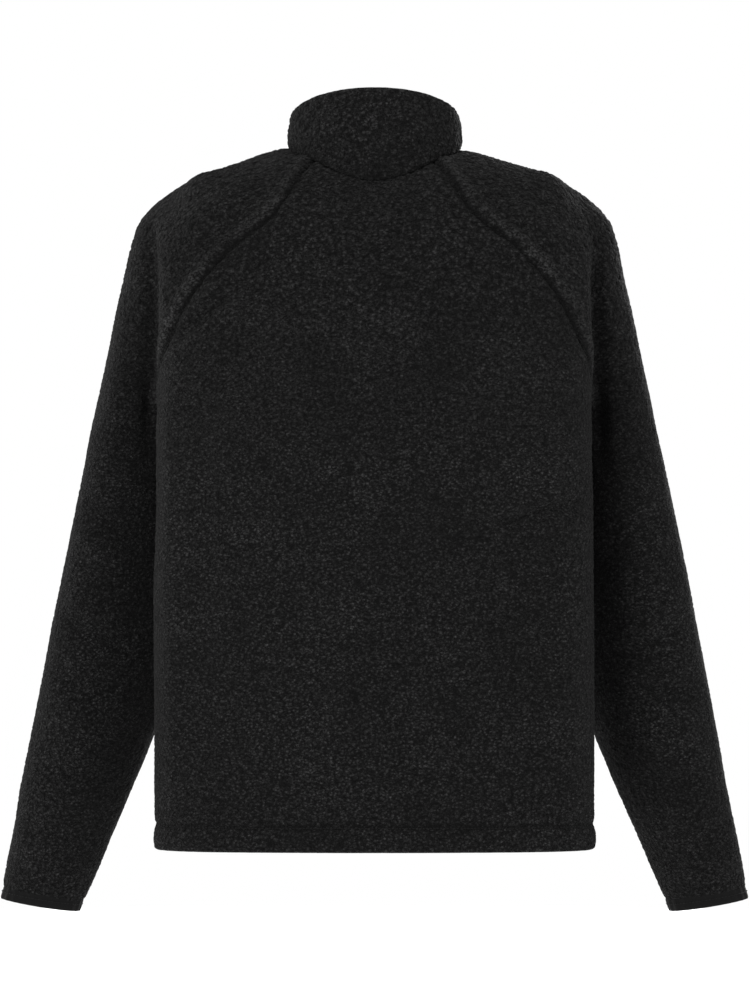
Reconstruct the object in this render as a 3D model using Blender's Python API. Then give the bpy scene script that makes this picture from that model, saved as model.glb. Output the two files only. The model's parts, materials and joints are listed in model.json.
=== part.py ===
"""A pile-fleece jacket, filled out as it is worn: raglan sleeves, a stand collar and a front zip.

Metres, +Z up. The front faces -Y and the wearer's left is +X. The origin is the middle of the neck
opening, level with the shoulder ends of the collar seam. Every cloth piece is a wall that follows one
filled-out form: a torso made of rings, smoothly joined above the underarm by an arm whose sections fan
round from the shoulder slope to the upper arm. Seams are curves on that form, and the pieces on both
sides of a seam share its points.
"""

import math

import bpy
import numpy as np


def chart(columns, rows):
    """A table as one array for each named column."""
    return dict(zip(columns, np.array(rows, float).T))


# Cloth and seams.
FLEECE = 0.004  # pile fleece, knit ground and pile together
COLLAR_CLOTH = 0.006  # the collar is folded double
BINDING = 0.003  # elastic binding, folded round the sleeve end
HEM_TURNING = 0.025
HEM_CLOTH = 0.0065  # the turned hem is double
SEAM_GAP = 0.0003
UNDERARM_PINCH = 0.5  # share of the wall left where four pieces are sewn together under the arm

# Torso rings: how wide and deep the filled body is at each level.
HEM_Z = -0.696
TORSO = chart(
    ("level", "half_width", "widest_y", "back_y", "front_y"),
    [
        (-0.696, 0.2180, 0.040, 0.104, -0.112),
        (-0.560, 0.2182, 0.040, 0.107, -0.118),
        (-0.420, 0.2172, 0.040, 0.110, -0.123),
        (-0.300, 0.2155, 0.040, 0.112, -0.126),
        (-0.200, 0.2140, 0.036, 0.111, -0.127),
        (-0.100, 0.2130, 0.030, 0.110, -0.127),
        (0.000, 0.2120, 0.024, 0.110, -0.127),
    ],
)
BACK_FLATNESS = 2.7  # exponent of the ring's curve: 2 is an ellipse, more is flatter
FRONT_FLATNESS = 2.0

# Yoke: how the torso closes over to the shoulders.
NECK_HALF_WIDTH = 0.0845
NECK_SIDE_Z = -0.006
SHOULDER_SLOPE = math.tan(math.radians(21.0))
YOKE_HEIGHT = 0.25
RIDGE_BEND = 0.03  # how softly the shoulder line bends down from the neck
RIDGE_Y = -0.010
YOKE_PLAN = 2.35  # exponent of the yoke's outline seen from above
YOKE_PLAN_END = 0.188  # where that outline stops falling away
BACK_ROUNDNESS = 3.2
FRONT_ROUNDNESS = 1.55

# Neck opening and collar.
NECK_Y = 0.0025
NECK_HALF_DEPTH = 0.0725
COLLAR_TOP_HALF_WIDTH = 0.0832
COLLAR_TOP_HALF_DEPTH = 0.0745
COLLAR_TOP_Y = 0.001
COLLAR_BACK_TOP_Z = 0.0568
COLLAR_TOP_DROP = 0.047

# Arm: the straight outer edge of the sleeve, and its sections, which fan about the inner edge.
OUTER_EDGE_X = 0.2415
OUTER_EDGE_Z = -0.090
OUTER_EDGE_LEAN = math.radians(12.6)
SHOULDER_ROUNDING = 0.040
ARM_LIFT = 0.006  # how far the arm's own shoulder line lies above the yoke's
FAN_X = 0.176
FAN_Z = -0.272
ARM = chart(
    ("angle", "mid_y", "half_depth", "lean", "blend"),
    [
        (10, -0.066, 0.0700, 25, 0.002),
        (34, -0.058, 0.0700, 22, 0.008),
        (57, -0.046, 0.0690, 18, 0.010),
        (70, -0.032, 0.0680, 12, 0.014),
        (78, -0.022, 0.0680, 8, 0.025),
        (84, -0.015, 0.0680, 5, 0.025),
        (96, -0.008, 0.0680, 0, 0.022),
        (108, -0.005, 0.0680, 0, 0.022),
    ],
)
ARM_CORE = 0.055  # how far the arm's middle lies below the shoulder's outer edge

# Sleeve below the underarm: outer and inner edge as the back view shows them, and the depth.
SLEEVE = chart(
    ("station", "outer_x", "outer_z", "inner_x", "inner_z", "mid_y", "half_depth", "lean"),
    [
        (0.00, 0.2795, -0.2535, 0.1760, -0.2720, -0.066, 0.0700, 25),
        (0.25, 0.3062, -0.3803, 0.1860, -0.4010, -0.072, 0.0650, 24),
        (0.50, 0.3313, -0.5068, 0.2030, -0.5280, -0.076, 0.0600, 18),
        (0.70, 0.3520, -0.6096, 0.2382, -0.6276, -0.080, 0.0520, 10),
        (0.85, 0.3665, -0.6853, 0.2705, -0.6990, -0.084, 0.0430, 5),
        (1.00, 0.3780, -0.7445, 0.2961, -0.7581, -0.088, 0.0350, 0),
    ],
)
BINDING_WIDTH = 0.010

# Seams.
UNDERARM = (0.1955, -0.036, -0.272)
UNDERARM_TURN = math.radians(128)  # its place on the sleeve's first ring
SEAM_AT_INNER_EDGE = 0.667  # share of the sleeve by which the underarm seam has reached the inner edge
BACK_RAGLAN_NECK = math.radians(45)  # place on the neck opening, from the middle of the back
FRONT_RAGLAN_NECK = math.radians(138)
BACK_RAGLAN = chart(
    ("station", "x", "y", "z"),
    [
        (0.20, 0.0965, 0.088, -0.068),
        (0.40, 0.1380, 0.088, -0.102),
        (0.60, 0.1740, 0.082, -0.144),
        (0.80, 0.2030, 0.066, -0.198),
        (0.92, 0.2120, 0.020, -0.244),
        (1.00, *UNDERARM),
    ],
)
FRONT_RAGLAN = chart(
    ("station", "x", "y", "z"),
    [
        (0.25, 0.0900, -0.085, -0.098),
        (0.50, 0.1250, -0.092, -0.150),
        (0.75, 0.1570, -0.086, -0.206),
        (0.92, 0.1800, -0.060, -0.250),
        (1.00, *UNDERARM),
    ],
)
FRONT_CLEAR_OF_ARM = 0.75  # share of the seam below which the front lies behind the arm
AWAY_FROM_BODY = (0.8, -0.55, -0.3)  # how the sleeve's lowest seam point stands off the body
SIDE_SEAM_HEM = math.radians(104)  # place on the hem ring, from the middle of the back

# Front zip: the fronts' edges, the teeth between them and the tapes behind, then the slider.
ZIP_HALF_GAP = 0.005
TEETH_HALF_WIDTH = 0.003
TEETH_DEPTH = 0.0018  # below the fleece's outer side
TAPE_WIDTH = 0.015
TAPE_CLOTH = 0.0008
TAPE_TOP = 0.010  # from the collar's top edge to the tape's end
TAPE_BOTTOM = 0.003
COLLAR_BEND = 0.090  # radius of the collar's front seen from above
FRONT_BEND = 0.240
SLIDER_WIDTH = 0.0086
SLIDER_HEIGHT = 0.009
SLIDER_NECK = 0.004  # stands above the end of the teeth and joins the two plates
SLIDER_PLATE = 0.0013
COLLAR_LEAN = 0.0005  # what the leaning collar needs over the slider's height
ARCH_WIDTH = 0.0024
ARCH_WINDOW = 0.0044
ARCH_BAR = 0.0012
AXIS_OUT = 0.0017
PULL_THICKNESS = 0.0012
PULL_WIDTH = 0.0066
PULL_LENGTH = 0.026
EYE_LENGTH = 0.0052

# Mesh steps.
RAGLAN_ROWS = 13
BODY_ROWS = 16
SLEEVE_ROWS = 18
BEND_ROWS = 2.6  # how far the easing of the sleeve's bend reaches
BEND_PASSES = 8
BEND_COLUMNS = 5  # columns beside a seam over which the easing fades in
BEND_SHARE = 0.7
BACK_COLUMNS = 24
FRONT_COLUMNS = 11
SLEEVE_COLUMNS = 20
COLLAR_COLUMNS = 28
COLLAR_PROFILE = (1.0, 0.965, 0.65, 0.32, 0.0)  # share of the height, from the top edge down
TAPE_ROWS = 30
DENSE = 61
RAY_DEPTH = 0.03  # how far inside the form the rays that find a sleeve's arcs start


def along(table, column, at):
    """A column's value at a place in the table's first column, on a smooth curve through its rows."""
    knots = next(iter(table.values()))
    values = table[column]
    slopes = np.gradient(values, knots)
    at = np.clip(at, knots[0], knots[-1])
    row = np.clip(np.searchsorted(knots, at, side="right") - 1, 0, len(knots) - 2)
    width = knots[row + 1] - knots[row]
    t = (at - knots[row]) / width
    return (
        values[row] * (1 + 2 * t) * (1 - t) ** 2
        + values[row + 1] * (3 - 2 * t) * t**2
        + slopes[row] * width * t * (1 - t) ** 2
        + slopes[row + 1] * width * t**2 * (t - 1)
    )


def ease(t):
    """0 below 0, 1 above 1, and a smooth step between."""
    t = np.clip(t, 0, 1)
    return t * t * (3 - 2 * t)


def soft_least(a, b, rounding):
    """The smaller of two values, with a rounded corner where they cross."""
    near = np.maximum(rounding - np.abs(a - b), 0) / rounding
    return np.minimum(a, b) - near**2 * rounding / 4


def soft_over(value, rounding):
    """0 below 0, the value itself above, with a rounded bend."""
    return -soft_least(-value, np.zeros_like(value), rounding)


def torso_gap(x, y, z):
    """About how far a point lies outside the torso rings and the yoke that closes them."""
    x = np.abs(x)
    half_width = along(TORSO, "half_width", z)
    plan = (1 - (np.minimum(x, YOKE_PLAN_END) / half_width) ** YOKE_PLAN) ** (1 / YOKE_PLAN)
    ridge = NECK_SIDE_Z - SHOULDER_SLOPE * soft_over(x - NECK_HALF_WIDTH, RIDGE_BEND)
    ridge = ridge + YOKE_HEIGHT * (1 - plan)
    up = np.maximum(1 - (ridge - z) / YOKE_HEIGHT, 0)
    widest = along(TORSO, "widest_y", z)
    middle = widest + (RIDGE_Y - widest) * ease(up)
    back = along(TORSO, "back_y", z) - middle
    front = middle - along(TORSO, "front_y", z)
    behind = ease((y - middle) / 0.08 + 0.5)
    depth = np.where(y > middle, back, front)
    flatness = FRONT_FLATNESS + (BACK_FLATNESS - FRONT_FLATNESS) * behind
    roundness = FRONT_ROUNDNESS + (BACK_ROUNDNESS - FRONT_ROUNDNESS) * behind
    profile = ((np.abs(y - middle) / depth) ** roundness + up**roundness) ** (1 / roundness)
    size = ((x / half_width) ** flatness + profile**flatness) ** (1 / flatness)
    away = np.sqrt(x**2 + (y - middle) ** 2 + (up * YOKE_HEIGHT) ** 2)
    return away * (size - 1) / np.maximum(size, 1e-6)


def arm_reach(angle):
    """From the fan's pivot to the outer edge: the nearer of the sleeve's edge and the shoulder slope."""
    c, s = np.cos(angle), np.sin(angle)
    edge = (OUTER_EDGE_X - FAN_X) * math.cos(OUTER_EDGE_LEAN)
    edge = edge + (OUTER_EDGE_Z - FAN_Z) * math.sin(OUTER_EDGE_LEAN)
    towards_edge = c * math.cos(OUTER_EDGE_LEAN) + s * math.sin(OUTER_EDGE_LEAN)
    slope = math.atan(SHOULDER_SLOPE)
    top = NECK_SIDE_Z + ARM_LIFT - FAN_Z
    shoulder = (NECK_HALF_WIDTH - FAN_X) * math.sin(slope) + top * math.cos(slope)
    towards_shoulder = c * math.sin(slope) + s * math.cos(slope)
    return soft_least(
        edge / np.maximum(towards_edge, 0.1),
        shoulder / np.maximum(towards_shoulder, 0.1),
        SHOULDER_ROUNDING,
    )


def arm_section(angle):
    """Depth, half sizes and lean of the arm's section, which starts at the fan's pivot."""
    degrees = np.degrees(angle)
    half_width = arm_reach(angle) / 2
    return (
        along(ARM, "mid_y", degrees),
        half_width,
        along(ARM, "half_depth", degrees),
        np.radians(along(ARM, "lean", degrees)),
    )


FIRST_FAN, LAST_FAN = np.radians((ARM["angle"][0], ARM["angle"][-1]))


def fan_angle(x, z):
    """A point's angle in the fan, held between the first and the last plane."""
    turned = np.arctan2(z - FAN_Z, x - FAN_X)
    turned = np.where(turned < FIRST_FAN - math.radians(120), turned + 2 * math.pi, turned)
    return np.clip(turned, FIRST_FAN, LAST_FAN)


def arm_gap(x, y, z):
    """About how far a point lies outside the arm above the underarm."""
    x = np.abs(x)
    angle = fan_angle(x, z)
    c, s = np.cos(angle), np.sin(angle)
    out = (x - FAN_X) * c + (z - FAN_Z) * s
    past_end = (z - FAN_Z) * c - (x - FAN_X) * s
    mid_y, half_width, half_depth, lean = arm_section(angle)
    across = out / half_width - 1
    deep = ((y - mid_y) / half_depth - across * np.sin(lean)) / np.cos(lean)
    size = np.maximum(np.hypot(across, deep), 1e-6)
    gap = np.hypot(out - half_width, y - mid_y) * (size - 1) / size
    return np.where(np.abs(past_end) > 1e-9, np.hypot(np.maximum(gap, 0), past_end), gap)


def form_gap(points):
    """About how far points lie outside the whole form: torso and arms, smoothly joined."""
    x, y, z = np.moveaxis(points, -1, 0)
    blend = along(ARM, "blend", np.degrees(fan_angle(np.abs(x), z)))
    return soft_least(torso_gap(x, y, z), arm_gap(x, y, z), blend)


def body_gap(points):
    """About how far points lie outside the torso alone."""
    return torso_gap(*np.moveaxis(points, -1, 0))


def slope_of(gap, points, step=1e-4):
    """How the gap grows along each axis."""
    shifts = np.eye(3) * step
    return np.stack([(gap(points + s) - gap(points - s)) / (2 * step) for s in shifts], axis=-1)


def snapped(points, gap=form_gap):
    """Points moved straight onto the form."""
    for _ in range(12):
        slope = slope_of(gap, points)
        size = np.maximum((slope**2).sum(-1, keepdims=True), 0.05)
        points = points - np.clip(gap(points)[..., None] / size, -0.01, 0.01) * slope
    return points


def unit(vectors):
    return vectors / np.maximum(np.linalg.norm(vectors, axis=-1, keepdims=True), 1e-12)


def exits(origins, directions, gap=form_gap, reach=0.34):
    """Where rays that start inside first leave the form."""
    steps = np.linspace(0, reach, 69)
    low = np.zeros(origins.shape[:-1])
    found = np.zeros(low.shape, bool)
    for step in steps[1:]:
        outside = gap(origins + directions * step) > 0
        low = np.where(found | outside, low, step)
        found |= outside
    high = low + steps[1]
    for _ in range(22):
        middle = (low + high) / 2
        outside = gap(origins + directions * middle[..., None]) > 0
        low, high = np.where(outside, low, middle), np.where(outside, middle, high)
    return origins + directions * high[..., None]


def spaced(curves, count):
    """Each curve (an array of points) cut again into equal steps along its length."""
    result = np.empty((len(curves), count, 3))
    for row, curve in enumerate(curves):
        lengths = np.linalg.norm(np.diff(curve, axis=0), axis=1)
        place = np.concatenate([[0], np.cumsum(lengths)])
        wanted = np.linspace(0, place[-1], count)
        for axis in range(3):
            result[row, :, axis] = np.interp(wanted, place, curve[:, axis])
    return result


def neck_point(turn):
    """The collar seam at a turn from the middle of the back: the neck ellipse, raised onto the form."""
    turn = np.asarray(turn, float)
    x = NECK_HALF_WIDTH * np.sin(turn)
    y = NECK_Y + NECK_HALF_DEPTH * np.cos(turn)
    origins = np.stack([x, y, np.full_like(x, -0.16)], axis=-1)
    up = np.broadcast_to([0.0, 0.0, 1.0], origins.shape)
    return exits(origins, up)


def seam_curve(table, neck_turn, count):
    """A raglan seam from the collar seam to the underarm, in equal steps."""
    places = np.concatenate([[0], table["station"]])
    start = neck_point(neck_turn)
    rows = np.vstack([start, np.stack([table[axis] for axis in "xyz"], axis=1)])
    whole = chart(("station", "x", "y", "z"), np.column_stack([places, rows]))
    stations = np.linspace(0, 1, 200)
    points = np.stack([along(whole, axis, stations) for axis in "xyz"], axis=1)
    points[1:-4] = snapped(points[1:-4])
    return spaced([points], count)[0]


def ring_rays(levels, turns, gap):
    """Points where level rays from the torso's middle leave the form, a turn being 0 at the back."""
    middle = along(TORSO, "widest_y", levels)
    zero = np.zeros_like(levels)
    origins = np.stack([zero, middle, levels], axis=-1)
    directions = np.stack([np.sin(turns), np.cos(turns), zero], axis=-1)
    return exits(origins, directions, gap)


def turn_of(point):
    """A point's turn about the torso's middle."""
    return np.arctan2(point[..., 0], point[..., 1] - along(TORSO, "widest_y", point[..., 2]))


def back_grid(seam):
    """Half of the back, rows from the neck to the hem, columns from the middle to the seam."""
    u = np.linspace(0, 1, DENSE)
    rows = [neck_point(u * BACK_RAGLAN_NECK)]
    middle_z = rows[0][0, 2]
    for index, end in enumerate(seam[1:-1], 1):
        share = 1 - index / (len(seam) - 1)
        sag = (middle_z - seam[0, 2]) * share**1.5
        levels = end[2] + sag * (1 - u**2)
        row = ring_rays(levels, turn_of(end) * u, form_gap)
        row[-1] = end
        rows.append(row)
    rows += body_rows(seam[-1], u, 0.0)
    return spaced(rows, BACK_COLUMNS // 2 + 1)


def side_turn(share):
    """The side seam's turn, from the underarm to the hem."""
    start = turn_of(np.array(UNDERARM))
    return start + (SIDE_SEAM_HEM - start) * ease(share)


def body_rows(underarm, u, far_turn):
    """Rows from the underarm to the hem, from the middle of the back or front to the side seam."""
    rows = []
    for index in range(BODY_ROWS + 1):
        share = index / BODY_ROWS
        level = UNDERARM[2] + (HEM_Z - UNDERARM[2]) * share
        turns = far_turn + (side_turn(share) - far_turn) * u
        row = ring_rays(np.full_like(u, level), turns, body_gap)
        if index == 0:
            row[-1] = underarm
        rows.append(row)
    return rows


def front_grid(seam):
    """The left front, rows from the neck to the hem, columns from the zip to the seam."""
    u = np.linspace(0, 1, DENSE)
    zip_turn = math.pi - math.asin(ZIP_HALF_GAP / NECK_HALF_WIDTH)
    rows = [neck_point(zip_turn + (FRONT_RAGLAN_NECK - zip_turn) * u)]
    top = rows[0][0, 2]
    for index, end in enumerate(seam[1:-1], 1):
        share = index / (len(seam) - 1)
        at_zip = top + (UNDERARM[2] - top) * share
        levels = at_zip + (end[2] - at_zip) * ease(u) ** (1 + share)
        turns = math.pi + (turn_of(end) - math.pi) * u
        row = ring_rays(levels, turns, form_gap if share < FRONT_CLEAR_OF_ARM else body_gap)
        row[-1] = end
        rows.append(row)
    rows += body_rows(seam[-1], u, math.pi)
    return spaced([from_zip(row) for row in rows], FRONT_COLUMNS + 1)


def from_zip(row):
    """A front row cut off at the zip's edge."""
    share = np.interp(ZIP_HALF_GAP, row[:, 0], np.arange(len(row)))
    start = [np.interp(share, np.arange(len(row)), row[:, axis]) for axis in range(3)]
    kept = row[int(share) + 1 :]
    return np.vstack([start, kept])


def fan_frame(angle):
    """The arm's centre and its outermost point in the fan plane at an angle."""
    mid_y, half_width, half_depth, lean = arm_section(angle)
    out = np.stack([np.cos(angle), 0 * angle, np.sin(angle)], axis=-1)
    pivot = np.array([FAN_X, 0, FAN_Z])
    core = np.maximum(half_width, 2 * half_width - ARM_CORE)
    middle = pivot + out * core[..., None]
    middle[..., 1] = mid_y
    tip = pivot + out * 2 * half_width[..., None]
    tip[..., 1] = mid_y + half_depth * np.sin(lean)
    return middle, tip


def half_arc(start, normal, middle, tip):
    """Points over the form from a seam to the arm's outer edge."""
    u = np.linspace(0, 1, DENSE)[:, None]
    inside = start - normal * RAY_DEPTH
    origins = inside + (middle - inside) * u
    directions = unit(normal * (1 - u) + unit(tip - middle) * u)
    points = exits(origins, directions)
    points[0] = start
    return points


def sleeve_loop(station):
    """A closed ring round the sleeve: underarm seam, back, outer edge, front, underarm seam."""
    row = {name: along(SLEEVE, name, station) for name in SLEEVE if name != "station"}
    outer = np.array([row["outer_x"], 0, row["outer_z"]])
    inner = np.array([row["inner_x"], 0, row["inner_z"]])
    half = (outer - inner) / 2
    start = UNDERARM_TURN + (math.pi - UNDERARM_TURN) * ease(station / SEAM_AT_INNER_EDGE)
    turn = np.linspace(start, start - 2 * math.pi, 4 * DENSE)[:, None]
    lean = math.radians(row["lean"])
    points = (outer + inner) / 2 + half * np.cos(turn)
    points[:, 1] = row["mid_y"] + row["half_depth"] * np.sin(turn[:, 0] + lean)
    return points


def sleeve_grid(back_seam, front_seam):
    """The left sleeve: open arcs from seam to seam, then closed rings down to the cuff."""
    dense = np.linspace(LAST_FAN, FIRST_FAN, 400)
    _, tips = fan_frame(dense)
    lengths = np.concatenate([[0], np.cumsum(np.linalg.norm(np.diff(tips, axis=0), axis=1))])
    wanted = np.linspace(0, lengths[-1], RAGLAN_ROWS + 1)
    angles = np.interp(wanted, lengths, dense)
    u = np.linspace(BACK_RAGLAN_NECK, FRONT_RAGLAN_NECK, 2 * DENSE)
    rows = [neck_point(u)]
    for index in range(1, RAGLAN_ROWS - 1):
        middle, tip = fan_frame(angles[index])
        arcs = []
        for seam in (back_seam, front_seam):
            start = seam[index]
            normal = unit(slope_of(form_gap, start))
            arcs.append(half_arc(start, normal, middle, tip))
        rows.append(np.vstack([arcs[0], arcs[1][-2::-1]]))
    for index in range(SLEEVE_ROWS + 1):
        loop = sleeve_loop(index / SLEEVE_ROWS)
        if index == 0:
            loop[0] = loop[-1] = UNDERARM
        rows.append(loop)
    grid = spaced(rows, SLEEVE_COLUMNS + 1)
    before_underarm = (grid[RAGLAN_ROWS - 2] + grid[RAGLAN_ROWS - 1]) / 2
    before_underarm[0], before_underarm[-1] = back_seam[-2], front_seam[-2]
    return rounded_arm(np.insert(grid, RAGLAN_ROWS - 1, before_underarm, axis=0))


def rounded_arm(grid):
    """The sleeve with its bend at the underarm eased, except along its seams."""
    row = np.arange(len(grid))[1:-1, None]
    column = np.arange(SLEEVE_COLUMNS + 1)[None]
    from_seam = np.minimum(column, SLEEVE_COLUMNS - column)
    share = np.exp(-(((row - RAGLAN_ROWS) / BEND_ROWS) ** 2)) * ease(from_seam / BEND_COLUMNS)
    for _ in range(BEND_PASSES):
        between = (grid[:-2] + grid[2:]) / 2
        grid[1:-1] += (between - grid[1:-1]) * share[..., None] * BEND_SHARE
    return grid


def grid_normals(grid, closed_from=None):
    """Outward normals of a grid whose columns run across and whose rows run down its outer side."""
    down = np.gradient(grid, axis=0)
    across = np.gradient(grid, axis=1)
    if closed_from is not None:
        wrap = grid[closed_from:, 1] - grid[closed_from:, -2]
        across[closed_from:, 0] = across[closed_from:, -1] = wrap / 2
    return unit(np.cross(across, down))


def shared_normals(back, front, sleeve):
    """Normals of the three left panels, made equal where two panels meet at a seam."""
    last = RAGLAN_ROWS
    normals = [grid_normals(back), grid_normals(front), grid_normals(sleeve, last)]
    on_back, on_front, on_sleeve = normals
    meeting = [
        (on_back[: last + 1, -1], on_sleeve[: last + 1, 0]),
        (on_front[: last + 1, 0], on_sleeve[: last + 1, -1]),
        (on_back[last:, -1], on_front[last:, 0]),
    ]
    for one, other in meeting:
        one[:] = other[:] = unit(one + other)
    for panel, row, column in ((on_back, last, -1), (on_front, last, 0), (on_sleeve, last, 0)):
        panel[row, column] = (0, 0, -1)
    on_sleeve[last, -1] = (0, 0, -1)
    return normals


def seam_inset(grid, welded_from=None):
    """How far each point moves into its own panel, so that panels part by the seam's gap."""
    shift = np.zeros_like(grid)
    near_underarm = np.abs(np.arange(len(grid)) - RAGLAN_ROWS) < 2
    amount = SEAM_GAP * np.where(near_underarm, 3.0, 0.75)[:, None]
    open_rows = slice(0, welded_from)
    shift[open_rows, 0] += (unit(grid[:, 1] - grid[:, 0]) * amount)[open_rows]
    shift[open_rows, -1] += (unit(grid[:, -2] - grid[:, -1]) * amount)[open_rows]
    shift[0] += unit(grid[1] - grid[0]) * amount[0]
    if welded_from is not None:
        away = unit(np.array(AWAY_FROM_BODY)) * amount[welded_from]
        shift[welded_from, 0] = shift[welded_from, -1] = away
    return shift


def mirrored(grid):
    """The same grid on the other side of the body, with its outer side still outwards."""
    return (grid * (-1, 1, 1))[:, ::-1]


def cloth_depth(grid):
    """The wall of a body panel: one layer of fleece, and two in the turned hem."""
    above_hem = grid[..., 2] - HEM_Z
    return FLEECE + (HEM_CLOTH - FLEECE) * (above_hem < HEM_TURNING * 0.9)


def with_hem_row(grid):
    """A body grid with one more row, at the top of the hem's turning."""
    share = HEM_TURNING / (grid[-2, 0, 2] - grid[-1, 0, 2])
    turned = [grid[-1] + (grid[-2] - grid[-1]) * share * part for part in (1, 0.8)]
    return np.concatenate([grid[:-1], [turned[0]], [turned[1]], grid[-1:]])


def wall(name, outer, inner, material, welded_from=None):
    """A closed cloth wall from its outer and inner points; rows from welded_from on are closed rings."""
    rows, columns = outer.shape[:2]
    ids = np.arange(rows * columns).reshape(rows, columns)
    if welded_from is not None:
        ids[welded_from:, -1] = ids[welded_from:, 0]
    points = np.vstack([outer.reshape(-1, 3), inner.reshape(-1, 3)])
    corners = ids[:-1, :-1], ids[:-1, 1:], ids[1:, 1:], ids[1:, :-1]
    a, b, c, d = (corner.ravel() for corner in corners)
    longer = np.linalg.norm(points[a] - points[c], axis=1) > np.linalg.norm(points[b] - points[d], axis=1)
    longer = longer[:, None]
    first = np.where(longer, np.stack([a, b, d], 1), np.stack([a, b, c], 1))
    second = np.where(longer, np.stack([b, c, d], 1), np.stack([a, c, d], 1))
    faces = np.vstack([first, second])
    sides = set(zip(faces.ravel().tolist(), np.roll(faces, -1, axis=1).ravel().tolist()))
    shift = rows * columns
    rim = []
    for here, there in sorted(side for side in sides if side[::-1] not in sides):
        corner, last = here + shift, there + shift
        if points[here, 2] > points[there, 2]:
            rim += [(there, here, last), (here, corner, last)]
        else:
            rim += [(there, here, corner), (there, corner, last)]
    used, every_face = np.unique(np.vstack([faces, faces[:, ::-1] + shift, rim]), return_inverse=True)
    return solid(name, points[used], every_face.reshape(-1, 3), material)


def solid(name, points, faces, material):
    """A mesh object from points and faces, shaded smooth but for its sharp edges."""
    mesh = bpy.data.meshes.new(name)
    mesh.from_pydata(points.tolist(), [], np.asarray(faces).tolist())
    mesh.materials.append(material)
    mesh.shade_smooth()
    mesh.set_sharp_from_angle(angle=math.radians(40))
    body = bpy.data.objects.new(name, mesh)
    bpy.context.collection.objects.link(body)
    return body


def finish(name, colour, roughness, metallic=0.0):
    """A plain material."""
    material = bpy.data.materials.new(name)
    material.use_nodes = True
    shader = material.node_tree.nodes["Principled BSDF"]
    shader.inputs["Base Color"].default_value = (*colour, 1)
    shader.inputs["Roughness"].default_value = roughness
    shader.inputs["Metallic"].default_value = metallic
    return material


def body_panels(fleece):
    """Back, fronts and sleeves. Returns the left front's edge at the zip, from the neck to the hem."""
    back_seam = seam_curve(BACK_RAGLAN, BACK_RAGLAN_NECK, RAGLAN_ROWS + 1)
    front_seam = seam_curve(FRONT_RAGLAN, FRONT_RAGLAN_NECK, RAGLAN_ROWS + 1)
    half_back = back_grid(back_seam)
    front = front_grid(front_seam)[:, ::-1]
    sleeve = sleeve_grid(back_seam, front_seam)
    back_normals, front_normals, sleeve_normals = shared_normals(half_back, front, sleeve)
    back = np.concatenate([mirrored(half_back)[:, :-1], half_back], axis=1)
    back_normals = np.concatenate([mirrored(back_normals)[:, :-1], back_normals], axis=1)
    panels = (
        ("back", back, back_normals, None, False),
        ("front", front, front_normals, None, True),
        ("sleeve", sleeve, sleeve_normals, RAGLAN_ROWS, True),
    )
    for name, grid, normals, welded_from, paired in panels:
        shift = seam_inset(grid, welded_from)
        for column in {"back": (0, -1), "front": (0,), "sleeve": (0, -1)}[name]:
            normals[RAGLAN_ROWS - 1 : RAGLAN_ROWS + 1, column] *= UNDERARM_PINCH
        if name == "front":
            shift[:, -1] = 0
        outer = grid + shift
        if welded_from is None:
            outer, normals = with_hem_row(outer), with_hem_row(normals)
            inner = outer - normals * cloth_depth(outer)[..., None]
        else:
            inner = outer - normals * FLEECE
        if not paired:
            wall(name, outer, inner, fleece)
            continue
        wall(name + "_left", outer, inner, fleece, welded_from)
        wall(name + "_right", mirrored(outer), mirrored(inner), fleece, welded_from)
    return front[:, -1]


def collar_grids():
    """Outer and inner points of the collar, from its top edge down, right front round to left front."""
    end = math.pi - math.asin(ZIP_HALF_GAP / NECK_HALF_WIDTH)
    turn = np.linspace(-end, end, COLLAR_COLUMNS + 1)
    base = neck_point(turn) + (0, 0, SEAM_GAP)
    drop = COLLAR_TOP_DROP * (1 - np.cos(turn)) / 2
    top = np.stack(
        [
            COLLAR_TOP_HALF_WIDTH * np.sin(turn),
            COLLAR_TOP_Y + COLLAR_TOP_HALF_DEPTH * np.cos(turn),
            COLLAR_BACK_TOP_Z - drop,
        ],
        axis=-1,
    )
    for edge in (base, top):
        edge[0, 0], edge[-1, 0] = -ZIP_HALF_GAP, ZIP_HALF_GAP
    height = np.array(COLLAR_PROFILE)[:, None, None]
    outer = base + (top - base) * height
    normals = np.stack([np.sin(turn), np.cos(turn) * 1.15, 0 * turn], axis=-1)
    normals = unit(normals)
    normals[0], normals[-1] = (0, -1, 0), (0, -1, 0)
    rounded = np.where(height > 0.99, COLLAR_CLOTH * 0.25, 0.0)
    return outer - normals * rounded, outer - normals * (COLLAR_CLOTH - rounded)


def cuff_binding(elastic):
    """The narrow band that wraps each sleeve's end."""
    end = sleeve_loop(1.0)
    before = sleeve_loop(0.97)
    ring = spaced([end], SLEEVE_COLUMNS + 1)[0]
    centre, earlier = end[:-1].mean(0), before[:-1].mean(0)
    along_arm = unit(centre - earlier)
    outwards = unit(ring - centre)
    rings = []
    for share in (0, 0.15, 0.85, 1):
        edge = 0.0006 if share in (0, 1) else 0.0
        moved = ring + along_arm * (2 * SEAM_GAP + BINDING_WIDTH * share) - outwards * (0.0004 + edge)
        rings.append(moved)
    outer = np.array(rings)
    inner = outer - outwards * BINDING
    wall("cuff_binding_left", outer, inner, elastic, 0)
    wall("cuff_binding_right", mirrored(outer), mirrored(inner), elastic, 0)


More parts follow.
